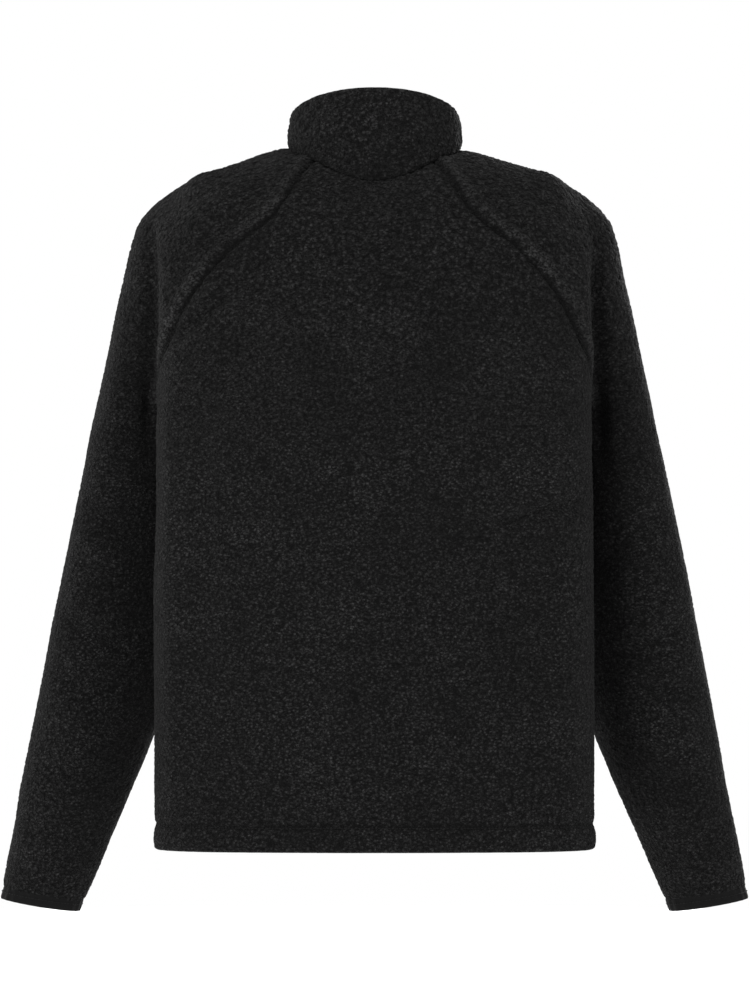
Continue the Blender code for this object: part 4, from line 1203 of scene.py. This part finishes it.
def tape_strip(name, side):
    """A thin woven strip from the middle outwards, bent to the body, with a fine rib along it."""
    x = np.linspace(SEAM_GAP / 2, TAPE_WIDTH, TAPE_COLUMNS)
    bend = x**2 / 2 * (in_collar[:, None] / COLLAR_BEND + (1 - in_collar[:, None]) / FRONT_BEND)
    rib = RIB_HEIGHT * (np.arange(TAPE_COLUMNS) % 2)
    front_side = wall[:, None] + bend + rib
    back_side = wall[:, None] + bend + TAPE_CLOTH
    depth = np.concatenate([front_side, back_side[:, ::-1]], axis=1)
    across = np.concatenate([x, x[::-1]]) * side
    place = path[:, None] + inwards[:, None] * depth[..., None]
    rings = np.concatenate([np.broadcast_to(across, depth.shape)[..., None], place], axis=-1)
    return turned_out(closed_tube(name, rings, closed_along=False))


tapes = {"left": tape_strip("zip_tape_left_woven", 1), "right": tape_strip("zip_tape_right_woven", -1)}

# %% Teeth
PITCH = 0.0025
TOOTH_DEPTH = 0.0026
TOOTH_HALF = np.array([  # half of a tooth's outline, from its foot on the tape to the tip of its head
    (0.0036, 0.00095), (0.0030, 0.00100), (0.0022, 0.00062), (0.0012, 0.00056),
    (0.0004, 0.00078), (-0.0003, 0.00076), (-0.0007, 0.00040),
])
TOOTH_BEVEL = 0.00018
TOOTH_HALF_HEIGHT = 0.001
TOOTH_PROUD = 0.0002  # gap between a tooth's back and the tape's place
FIRST_TOOTH, LAST_TOOTH = 0.002, 0.004  # how far the rows stay inside the tape's two ends


def tooth_outline():
    """The closed outline: the half outline up one side and its mirror image down the other."""
    return np.vstack([TOOTH_HALF, (TOOTH_HALF * (1, -1))[::-1]])


def teeth(name, side, first):
    """One row of teeth: the outline at four depths, the outer two drawn in, repeated along the path."""
    outline = tooth_outline()
    middle = outline.mean(0)
    small = middle + (outline - middle) * (1 - TOOTH_BEVEL / TOOTH_HALF_HEIGHT)
    last = TOOTH_DEPTH - TOOTH_BEVEL
    layers = [(small, 0), (outline, TOOTH_BEVEL), (outline, last), (small, TOOTH_DEPTH)]
    at = np.arange(run[0] + FIRST_TOOTH + first, run[-1] - LAST_TOOTH, PITCH)
    place, down, deeper = (read(values, run, at)[:, None] for values in (path, tangent, inwards))
    back_of = (np.interp(at, run, wall) - TOOTH_PROUD)[:, None, None]
    points = []
    for shape, depth in layers:
        side_view = place + down * shape[:, 1:] + deeper * (back_of - TOOTH_DEPTH + depth)
        across = np.broadcast_to(shape[:, :1] * side, (*side_view.shape[:2], 1))
        points.append(np.concatenate([across, side_view], axis=-1))
    return stacked(name, np.stack(points, axis=1), smooth=False)


tooth_rows = {"left": teeth("zip_teeth_left", 1, 0.0), "right": teeth("zip_teeth_right", -1, PITCH / 2)}
print("teeth:", triangles(tooth_rows["left"]), "triangles a side")

# %% [markdown]
# ## Slider and pull
# The slider is cast: two plates joined by a neck, with an arch that holds the pull. Its outline is wide
# at the top, where the rows part, and narrow below. The pull is a flat tab with an eye. Both are
# outlines drawn by formula and given thickness, then a bevel modifier breaks the edges as casting does.

# %% Slider outline and plates
SLIDER_WIDTH = 0.0086
SLIDER_HEIGHT = 0.009
SLIDER_NECK = 0.004
SLIDER_PLATE = 0.0013
PLATE_BEVEL = 0.00035
COLLAR_LEAN = 0.0005
PULL_THICKNESS = 0.0012
PULL_WIDTH = 0.0066
PULL_LENGTH = 0.026
EYE_LENGTH = 0.0052
SLIDER_FOOT, SLIDER_FLARE = 0.80, 0.20  # share of the full width at the foot, and what the top adds
NECK_FOOT, NECK_TOP = 0.0015, 0.0010  # half widths
NECK_SHIFT = 0.0002
ARCH_WIDTH = 0.0024
ARCH_OUT, ARCH_HIGH, ARCH_BAR = 0.0029, 0.0031, 0.0011
ARCH_FULLNESS = 0.8  # below 1, the arch is fuller than an ellipse
ARCH_BEVEL, PULL_BEVEL = 0.0002, 0.00022
PULL_CORNER, EYE_CORNER = 0.0016, 0.0006
PULL_TAPER = 1.4
EYE_ROOM, EYE_BELOW = 0.0005, 0.0012  # beside the arch, and below the tab's upper end
top_of_tape = np.array([0, *(path[0] + inwards[0] * TEETH_DEPTH)])
slider_at = top_of_tape - (0, TEETH_DEPTH, 0)
plate_front = TEETH_DEPTH - SLIDER_PLATE - SEAM_GAP - COLLAR_LEAN
plate_back = wall[0] + TAPE_CLOTH + SEAM_GAP + COLLAR_LEAN
hinge = frame["joints"][0]["pos_m"]
print("hinge", np.round(hinge, 5), "slider at", np.round(slider_at, 5))


def plate_outline(count=48):
    """Wide above, narrow below: an ellipse of power 3 whose width shrinks down its height."""
    turn = np.linspace(0, 2 * math.pi, count, endpoint=False)
    c, s = np.cos(turn), np.sin(turn)
    power = 2 / 3
    whole = SLIDER_HEIGHT + SLIDER_NECK
    z = signed_power(s, power) * whole / 2 + (SLIDER_NECK - SLIDER_HEIGHT) / 2
    narrowing = SLIDER_FOOT + SLIDER_FLARE * ease((z + SLIDER_HEIGHT) / whole)
    return np.stack([signed_power(c, power) * SLIDER_WIDTH / 2 * narrowing, z], axis=1)


def extruded(name, outline, low, high, at):
    """An outline in x and z given thickness along y."""
    count = len(outline)
    flat = [np.stack([outline[:, 0], np.full(count, y), outline[:, 1]], axis=1) + at for y in (low, high)]
    ids = np.arange(2 * count).reshape(2, count)
    sides = np.stack([ids[0], ids[1], np.roll(ids[1], -1), np.roll(ids[0], -1)], axis=1)
    piece = new_piece(name, np.vstack(flat), sides.tolist() + [ids[0].tolist(), ids[1, ::-1].tolist()])
    return turned_out(piece)


def bevelled(piece, width, segments=3):
    """Rounds a piece's edges with a live bevel modifier."""
    bevel = piece.modifiers.new("edges", "BEVEL")
    bevel.width, bevel.segments, bevel.limit_method = width, segments, "ANGLE"
    bevel.angle_limit = math.radians(40)
    return piece


def arch_bar():
    """The bridge over the pull's axis: a flat bar carried along a low arch from plate to plate."""
    turn = np.linspace(0, math.pi, 25)
    centre = np.array([plate_front, hinge[2] - slider_at[2]])
    half = ARCH_WIDTH / 2
    rings = []
    for angle in turn:
        direction = np.array([-math.sin(angle) ** ARCH_FULLNESS, math.cos(angle)])
        outer = centre + direction * (ARCH_OUT, ARCH_HIGH)
        inner = centre + direction * (ARCH_OUT - ARCH_BAR, ARCH_HIGH - ARCH_BAR)
        rings.append([(-half, *outer), (half, *outer), (half, *inner), (-half, *inner)])
    return turned_out(closed_tube("zip_slider_arch", np.array(rings) + slider_at, closed_along=False))


outline = plate_outline()
slider_front, slider_back = (
    bevelled(extruded(name, outline, low, low + SLIDER_PLATE, slider_at), PLATE_BEVEL)
    for name, low in (("zip_slider_front", plate_front), ("zip_slider_back", plate_back))
)
neck_low, neck_high = SEAM_GAP * 2, SLIDER_NECK - 0.0004
neck = np.array([
    (-NECK_FOOT, neck_low), (NECK_FOOT, neck_low), (NECK_TOP, neck_high), (-NECK_TOP, neck_high),
])
neck_ends = plate_front + NECK_SHIFT, plate_back + NECK_SHIFT
slider_neck = extruded("zip_slider_neck", neck, *neck_ends, slider_at)
slider_arch = bevelled(arch_bar(), ARCH_BEVEL, 2)

# %% The pull
def rounded_box(half_width, low, high, corner, count=8):
    """A rectangle's outline with quarter-round corners."""
    quarter = np.linspace(0, math.pi / 2, count)
    corners = []
    for number, (sx, sz) in enumerate(((1, 1), (-1, 1), (-1, -1), (1, -1))):
        turn = quarter + number * math.pi / 2
        centre = np.array([sx * (half_width - corner), (high if sz > 0 else low) - sz * corner])
        corners.append(centre + corner * np.stack([np.cos(turn), np.sin(turn)], axis=1))
    return np.vstack(corners)


def pull_tab():
    """Outer and eye outlines have equal counts, so the ring between them is quads, front and back."""
    thick = PULL_THICKNESS / 2
    outer = rounded_box(PULL_WIDTH / 2, -PULL_LENGTH, thick, PULL_CORNER)
    outer[:, 0] *= SLIDER_FOOT + SLIDER_FLARE * ease(-outer[:, 1] / PULL_LENGTH * PULL_TAPER)
    eye = rounded_box(ARCH_WIDTH / 2 + EYE_ROOM, -EYE_LENGTH, thick - EYE_BELOW, EYE_CORNER)
    rings = [np.stack([o[:, 0], np.full(len(o), y), o[:, 1]], axis=1)
             for o, y in ((outer, -thick), (outer, thick), (eye, thick), (eye, -thick))]
    rings = np.stack(rings, axis=1) + np.array(hinge)
    piece = turned_out(closed_tube("zip_pull_tab", rings))
    return bevelled(piece, PULL_BEVEL, 2)


pull_piece = pull_tab()
print("pull:", triangles(pull_piece), "triangles before its bevel")

# %% [markdown]
# ## Stitches
# Thread sinks into pile and is black on black, but it holds the hem, the zip and the bindings: short
# rounded bars, one mesh a row, laid along a line of the cloth's own grid and sunk to the groove's floor.

# %% A row of stitches
THREAD = 0.00042
STITCH, STITCH_STEP = 0.0026, 0.0034
BAR_RINGS = np.array([(-0.5, 0.35), (-0.42, 0.9), (0.0, 1.0), (0.42, 0.9), (0.5, 0.35)])  # place, radius


def stitch_row(name, line, up):
    """Bars along a line of points: each has five rings of six points, the end rings drawn in."""
    lengths = lengths_along(line)
    at = np.arange(STITCH_STEP, lengths[-1] - STITCH_STEP, STITCH_STEP)
    centre, lift = read(line, lengths, at), unit(read(up, lengths, at))
    ahead = unit(read(line, lengths, at + STITCH / 2) - read(line, lengths, at - STITCH / 2))
    aside = unit(np.cross(ahead, lift))
    turn = np.arange(6) * math.pi / 3
    ring = np.cos(turn)[:, None] * aside[:, None] + np.sin(turn)[:, None] * lift[:, None]
    sunk = THREAD * 0.3 * np.abs(BAR_RINGS[:, 0]) * 2
    spine = centre[:, None] + ahead[:, None] * (BAR_RINGS[:, :1] * STITCH) - lift[:, None] * sunk[:, None]
    points = spine[:, :, None] + ring[:, None] * (BAR_RINGS[:, 1] * THREAD)[:, None, None]
    return stacked(name, points)


def nearest_row(grid, distance):
    """The grid row that lies closest to a distance above the bottom edge."""
    from_bottom = edge_distances(grid)[1].mean(axis=1)
    return int(np.abs(from_bottom - distance).argmin())


def nearest_column(grid, distance, last):
    """The grid column that lies closest to a distance from the first or the last edge."""
    beside = edge_distances(grid)[3 if last else 2].mean(axis=0)
    return int(np.abs(beside - distance).argmin())


# %% Hem, zip and cuff stitches
ABOVE_GROOVE, ABOVE_BINDING = 0.0002, 0.0001
CUFF_STITCH = 0.003  # beyond the sleeve's last ring
ZIP_STITCH = 0.0065
outer, normals = back_side
row = nearest_row(back, HEM_TURNING)
line = outer[row] + normals[row] * ABOVE_GROOVE
stitches = [stitch_row("stitches_hem_back", line, normals[row])]
for side in ("left", "right"):
    outer, normals = fronts[side]
    row = nearest_row(outer, HEM_TURNING)
    line = outer[row] + normals[row] * ABOVE_GROOVE
    stitches.append(stitch_row(f"stitches_hem_{side}", line, normals[row]))
    column = nearest_column(outer, ZIP_STITCH, side == "left")
    line = outer[:, column] + normals[:, column] * ABOVE_GROOVE
    stitches.append(stitch_row(f"stitches_zip_{side}", line, normals[:, column]))
arm_way = unit(end_ring[:-1].mean(0) - earlier_ring[:-1].mean(0))
outwards = unit(end_ring - end_ring[:-1].mean(0))
line = end_ring + arm_way * CUFF_STITCH + outwards * ABOVE_BINDING
for side, sign in (("left", 1), ("right", -1)):
    stitches.append(stitch_row(f"stitches_cuff_{side}", line * (sign, 1, 1), outwards * (sign, 1, 1)))
print("stitches:", sum(triangles(piece) for piece in stitches), "triangles")

# %% [markdown]
# ## Finishes
# Black pile fleece is matte: what shows it is the tuft-sized relief, a faint sheen where the fibres catch
# grazing light, and slow changes of tone where the pile was brushed. All patterns read Object
# coordinates in metres, so a tuft is the same size on every panel and runs on over a seam. Everything
# smaller than the modelled tufts is bump.

# %% Small helpers for node trees
def new_finish(name, rough, specular, sheen=0.0, metallic=0.0):
    """A material with its constants set straight on the shader's sockets."""
    material = bpy.data.materials.new(name)
    material.use_nodes = True
    shader = material.node_tree.nodes["Principled BSDF"]
    shader.inputs["Roughness"].default_value = rough
    shader.inputs["Specular IOR Level"].default_value = specular
    shader.inputs["Sheen Weight"].default_value = sheen
    shader.inputs["Sheen Roughness"].default_value = 0.55
    shader.inputs["Sheen Tint"].default_value = (0.5, 0.5, 0.5, 1)
    shader.inputs["Metallic"].default_value = metallic
    return material, material.node_tree, shader


def add(tree, kind, inputs=(), **settings):
    """A node with its settings; each input is a link's source or a plain value."""
    made = tree.nodes.new(kind)
    for key, value in settings.items():
        setattr(made, key, value)
    for key, value in dict(inputs).items():
        if isinstance(value, bpy.types.NodeSocket):
            tree.links.new(value, made.inputs[key])
        else:
            made.inputs[key].default_value = value
    return made


def object_place(tree, scale):
    """Object coordinates, stretched by a scale along each axis."""
    place = add(tree, "ShaderNodeTexCoord").outputs["Object"]
    return add(tree, "ShaderNodeMapping", {"Vector": place, "Scale": scale}).outputs["Vector"]


def ramp(tree, value, stops):
    """A colour ramp through (place, grey) stops."""
    made = add(tree, "ShaderNodeValToRGB", {"Fac": value})
    band = made.color_ramp
    while len(band.elements) < len(stops):
        band.elements.new(0.5)
    for element, (place, grey) in zip(band.elements, stops):
        element.position = place
        element.color = (grey, grey, grey, 1)
    return made.outputs["Color"]


def bump(tree, height, distance, strength, normal=None):
    """A bump node, over an earlier one where a normal is given."""
    inputs = {"Height": height, "Distance": distance, "Strength": strength}
    if normal is not None:
        inputs["Normal"] = normal
    return add(tree, "ShaderNodeBump", inputs).outputs["Normal"]


# %% Pile fleece
PILE_SHEEN = 0.030
# Greys from the curls' tops down to the gaps between them; the darker greys are painted shade.
PILE_LIGHT, PILE_GREY, PILE_GAP_SHADE = 0.0190, 0.0060, 0.0003
SHOULDER_TONE = 0.56  # share of the body's tone, because the longer pile there swallows more light
BODY_CURLS, SHOULDER_CURLS = 300.0, 230.0  # curls a metre
FIBRE_TONE = (0.04, 1.96)  # how dark and how light single bundles of fibre are, beside the mean
FIBRES, BUNDLES, BRUSHED = 2400.0, 400.0, 11.0  # noise cells a metre, the last for brushed patches
DRIFTS, DRIFT_REACH = 240.0, 0.0024  # how finely and how far the curls are pushed about
LOOPS, LOOP_SHARE = 2.6, 0.45  # loops across a curl, and how much they show
TUFT_SHARE = 0.35  # how much a modelled tuft lightens its pile, against the painted shade of the gaps
TONE_LEVELS = (-0.42, -0.13)  # levels between which the body's pile passes into the shoulders'


def curls_at(tree, place, scale):
    """How far a point lies from the middle of its curl, and of the loops that the curl is made of."""
    curl = add(tree, "ShaderNodeTexVoronoi", {"Vector": place, "Scale": scale})
    loop = add(tree, "ShaderNodeTexVoronoi", {"Vector": place, "Scale": scale * LOOPS})
    both = add(tree, "ShaderNodeMath", {0: loop.outputs["Distance"], 1: LOOP_SHARE,
                                         2: curl.outputs["Distance"]}, operation="MULTIPLY_ADD")
    return both.outputs[0]


def times(tree, first, second):
    """Two colours multiplied."""
    made = add(tree, "ShaderNodeMix", {"Factor": 1.0, 6: first, 7: second}, data_type="RGBA",
               blend_type="MULTIPLY")
    return made.outputs[2]


def noise(tree, place, scale, detail, roughness=0.5):
    """A noise texture's two outputs: its value and its colour."""
    made = add(tree, "ShaderNodeTexNoise", {"Vector": place, "Scale": scale, "Detail": detail,
                                            "Roughness": roughness})
    return made.outputs["Fac"], made.outputs["Color"]


def pile_fleece():
    """Curls made of loops made of fibres, larger on the shoulders; gaps get painted shade, darker than
    tops.
    """
    material, tree, shader = new_finish("pile_fleece", 1.0, 0.08, sheen=PILE_SHEEN)
    place = object_place(tree, (1, 1, TUFT_FLATNESS))
    _, drift = noise(tree, place, DRIFTS, 2.0)
    pushed = add(tree, "ShaderNodeVectorMath", {0: drift, "Scale": DRIFT_REACH}, operation="SCALE")
    bent = add(tree, "ShaderNodeVectorMath", {0: place, 1: pushed.outputs[0]}, operation="ADD").outputs[0]
    level = add(tree, "ShaderNodeSeparateXYZ", {"Vector": place}).outputs["Z"]
    high = add(tree, "ShaderNodeMapRange", {"Value": level, "From Min": TONE_LEVELS[0],
                                             "From Max": TONE_LEVELS[1]})
    low = add(tree, "ShaderNodeMix", {"Factor": high.outputs["Result"], 2: curls_at(tree, bent, BODY_CURLS),
                                      3: curls_at(tree, bent, SHOULDER_CURLS)}).outputs[0]
    tuft = add(tree, "ShaderNodeAttribute", attribute_name="tuft").outputs["Fac"]
    gaps = add(tree, "ShaderNodeMath", {0: tuft, 1: -TUFT_SHARE, 2: low},
               operation="MULTIPLY_ADD").outputs[0]
    height = add(tree, "ShaderNodeMath", {0: 1.0, 1: low}, operation="SUBTRACT").outputs[0]
    fibres, _ = noise(tree, bent, FIBRES, 3.0, 0.7)
    brushed, _ = noise(tree, place, BRUSHED, 3.0)
    bundles, _ = noise(tree, bent, BUNDLES, 2.0, 0.7)
    # Painted shade: the pile's colour darkens towards the gaps between curls and tufts.
    dark = ramp(tree, gaps, [(0.05, PILE_LIGHT), (0.40, PILE_GREY), (0.80, PILE_GAP_SHADE)])
    tone = ramp(tree, brushed, [(0.36, 0.60), (0.64, 1.0)])
    share = ramp(tree, bundles, [(0.40, FIBRE_TONE[0] / 2), (0.60, FIBRE_TONE[1] / 2)])
    half = times(tree, times(tree, dark, tone), share)
    level_tone = add(tree, "ShaderNodeMapRange", {"Value": high.outputs["Result"], "To Min": 2.0,
                                                  "To Max": 2.0 * SHOULDER_TONE}).outputs["Result"]
    whole = add(tree, "ShaderNodeVectorMath", {0: half, "Scale": level_tone}, operation="SCALE")
    tree.links.new(whole.outputs[0], shader.inputs["Base Color"])
    curl = bump(tree, height, 0.0030, 1.0)
    fine = bump(tree, fibres, 0.0005, 0.6, curl)
    tree.links.new(fine, shader.inputs["Normal"])
    return material


fleece = pile_fleece()
print("pile: grey", PILE_GREY, "sheen", PILE_SHEEN)

# %% Elastic, tape, teeth, thread and metal
def ribbed(name, grey, rough, pitch, direction, depth, specular=0.06, sheen=0.02):
    """A fine rib across one axis, with a slight change of tone along the yarns: painted shade in the rib's
    grooves.
    """
    material, tree, shader = new_finish(name, rough, specular, sheen=sheen)
    place = object_place(tree, (1, 1, 1))
    rib = add(tree, "ShaderNodeTexWave", {"Vector": place, "Scale": 0.314 / pitch, "Distortion": 0.6,
                                          "Detail": 1.0, "Detail Scale": 3.0},
              wave_type="BANDS", bands_direction=direction)
    yarn, _ = noise(tree, place, 1600.0, 2.0)
    # The colour follows the rib's height: its grooves are painted darker, as painted shade.
    colour = ramp(tree, rib.outputs["Fac"], [(0.0, grey * 0.5), (1.0, grey * 1.25)])
    tree.links.new(colour, shader.inputs["Base Color"])
    over = bump(tree, yarn, depth * 0.5, 0.4, bump(tree, rib.outputs["Fac"], depth, 0.7))
    tree.links.new(over, shader.inputs["Normal"])
    return material


def moulded(name, grey, rough, specular, metallic=0.0):
    """A smooth cast or moulded finish with faint flow marks that also change its gloss."""
    material, tree, shader = new_finish(name, rough, specular, metallic=metallic)
    place = object_place(tree, (1, 1, 1))
    marks, _ = noise(tree, place, 900.0, 4.0)
    tree.links.new(ramp(tree, marks, [(0.3, grey * 0.8), (0.75, grey * 1.3)]), shader.inputs["Base Color"])
    gloss = add(tree, "ShaderNodeMapRange", {"Value": marks, "To Min": rough * 0.8,
                                             "To Max": rough * 1.25})
    tree.links.new(gloss.outputs["Result"], shader.inputs["Roughness"])
    tree.links.new(bump(tree, marks, 0.00004, 0.5), shader.inputs["Normal"])
    return material


elastic = ribbed("elastic_binding", 0.0036, 0.88, 0.0011, "Z", 0.0002)
woven = ribbed("zip_tape", 0.0060, 0.80, 0.0007, "DIAGONAL", 0.00012)
thread = ribbed("sewing_thread", 0.0060, 0.70, 0.0004, "DIAGONAL", 0.0001)
tooth_plastic = moulded("moulded_teeth", 0.007, 0.42, 0.3)
metal = moulded("black_metal", 0.020, 0.36, 0.6, metallic=0.35)

# %% Give each piece its finish
FINISHES = {
    fleece: [back_cloth, fronts["left_cloth"], fronts["right_cloth"], sleeves["left_cloth"],
             sleeves["right_cloth"], collar_cloth],
    elastic: list(cuffs.values()),
    woven: list(tapes.values()),
    tooth_plastic: list(tooth_rows.values()),
    thread: stitches,
    metal: [slider_front, slider_back, slider_neck, slider_arch, pull_piece],
}
for material, pieces in FINISHES.items():
    for piece in pieces:
        piece.data.materials.append(material)
print("finished:", sum(len(pieces) for pieces in FINISHES.values()), "pieces")

# %% [markdown]
# ## Which solid each piece stands for
# A piece rides on the body that its solid belongs to. The pull turns on its hinge, and all the rest is
# the jacket.

# %% Ride and replace
for material, slot in ((fleece, "pile_fleece"), (elastic, "elastic_binding"), (woven, "zip_tape"),
                       (tooth_plastic, "zip_tape"), (thread, "pile_fleece"), (metal, "black_metal")):
    for piece in FINISHES[material]:
        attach(piece, "pull" if piece is pull_piece else "jacket")

STANDS_FOR = {
    back_cloth: "back",
    fronts["left_cloth"]: "front_left",
    fronts["right_cloth"]: "front_right",
    sleeves["left_cloth"]: "sleeve_left",
    sleeves["right_cloth"]: "sleeve_right",
    collar_cloth: "collar",
    cuffs["left"]: "cuff_binding_left",
    cuffs["right"]: "cuff_binding_right",
    tapes["left"]: "zip_tape_left",
    tapes["right"]: "zip_tape_right",
    slider_front: "zip_slider",
    pull_piece: "zip_pull",
}
for piece, node in STANDS_FOR.items():
    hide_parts(node)


# %% [markdown]
# ## Camera, light and floor
# The photo is a flat, straight-on back view without much perspective, so the camera stands 5 m behind
# with a long lens that shows one metre over the picture's height. White light comes from all round, as
# in a tent of white cloth. A soft light from the upper left gives the creases their shade, a weaker one
# from the right lifts the shadow, and the same pair stands before the jacket for views of its front.

# %% Camera and stage
CAMERA_DISTANCE = 5.0
VIEW_MIDDLE_X, VIEW_MIDDLE_Z = -0.0005, -0.350
camera_data = bpy.data.cameras.new("camera")
camera_data.lens, camera_data.sensor_width = 180, 36
camera = bpy.data.objects.new("camera", camera_data)
camera.location = (VIEW_MIDDLE_X, CAMERA_DISTANCE, VIEW_MIDDLE_Z)
camera.rotation_euler = (math.radians(90), 0, math.radians(180))
bpy.context.scene.collection.objects.link(camera)
bpy.context.scene.camera = camera

world = bpy.data.worlds.new("white_tent")
world.use_nodes = True
world.node_tree.nodes["Background"].inputs["Color"].default_value = (1, 1, 1, 1)
world.node_tree.nodes["Background"].inputs["Strength"].default_value = 1.0
bpy.context.scene.world = world
bpy.context.scene.view_settings.view_transform = "Standard"  # so that white paper stays white


def soft_light(name, place, size, power):
    """A square area light that faces the middle of the jacket."""
    light = bpy.data.lights.new(name, "AREA")
    light.size, light.energy = size, power
    lamp = bpy.data.objects.new(name, light)
    lamp.location = place
    aim = np.array((0, 0, VIEW_MIDDLE_Z)) - place
    lamp.rotation_euler = (math.atan2(np.hypot(aim[0], aim[1]), -aim[2]), 0, math.atan2(-aim[0], aim[1]))
    bpy.context.scene.collection.objects.link(lamp)


for name, place, size, power in (
    ("key", (1.6, 3.1, 0.9), 1.2, 150),
    ("fill", (-2.4, 2.2, -0.6), 1.6, 45),
    ("front_key", (-1.6, -3.1, 0.9), 1.2, 140),
    ("front_fill", (2.4, -2.2, -0.6), 1.6, 45),
):
    soft_light(name, place, size, power)

FLOOR_Z = -1.0
FLOOR_RADIUS, FLOOR_CORNERS = 3, 96
floor_mesh = bpy.data.meshes.new("floor")
turn = np.linspace(0, 2 * math.pi, FLOOR_CORNERS + 1)[:-1]
rim = np.stack([FLOOR_RADIUS * np.cos(turn), FLOOR_RADIUS * np.sin(turn), 0 * turn + FLOOR_Z], axis=1)
floor_mesh.from_pydata(rim.tolist(), [], [list(range(FLOOR_CORNERS))])
floor = bpy.data.objects.new("floor", floor_mesh)
bpy.context.scene.collection.objects.link(floor)
paper, _, paper_shader = new_finish("white_paper", 0.9, 0.1)
paper_shader.inputs["Base Color"].default_value = (0.92, 0.92, 0.92, 1)
floor_mesh.materials.append(paper)
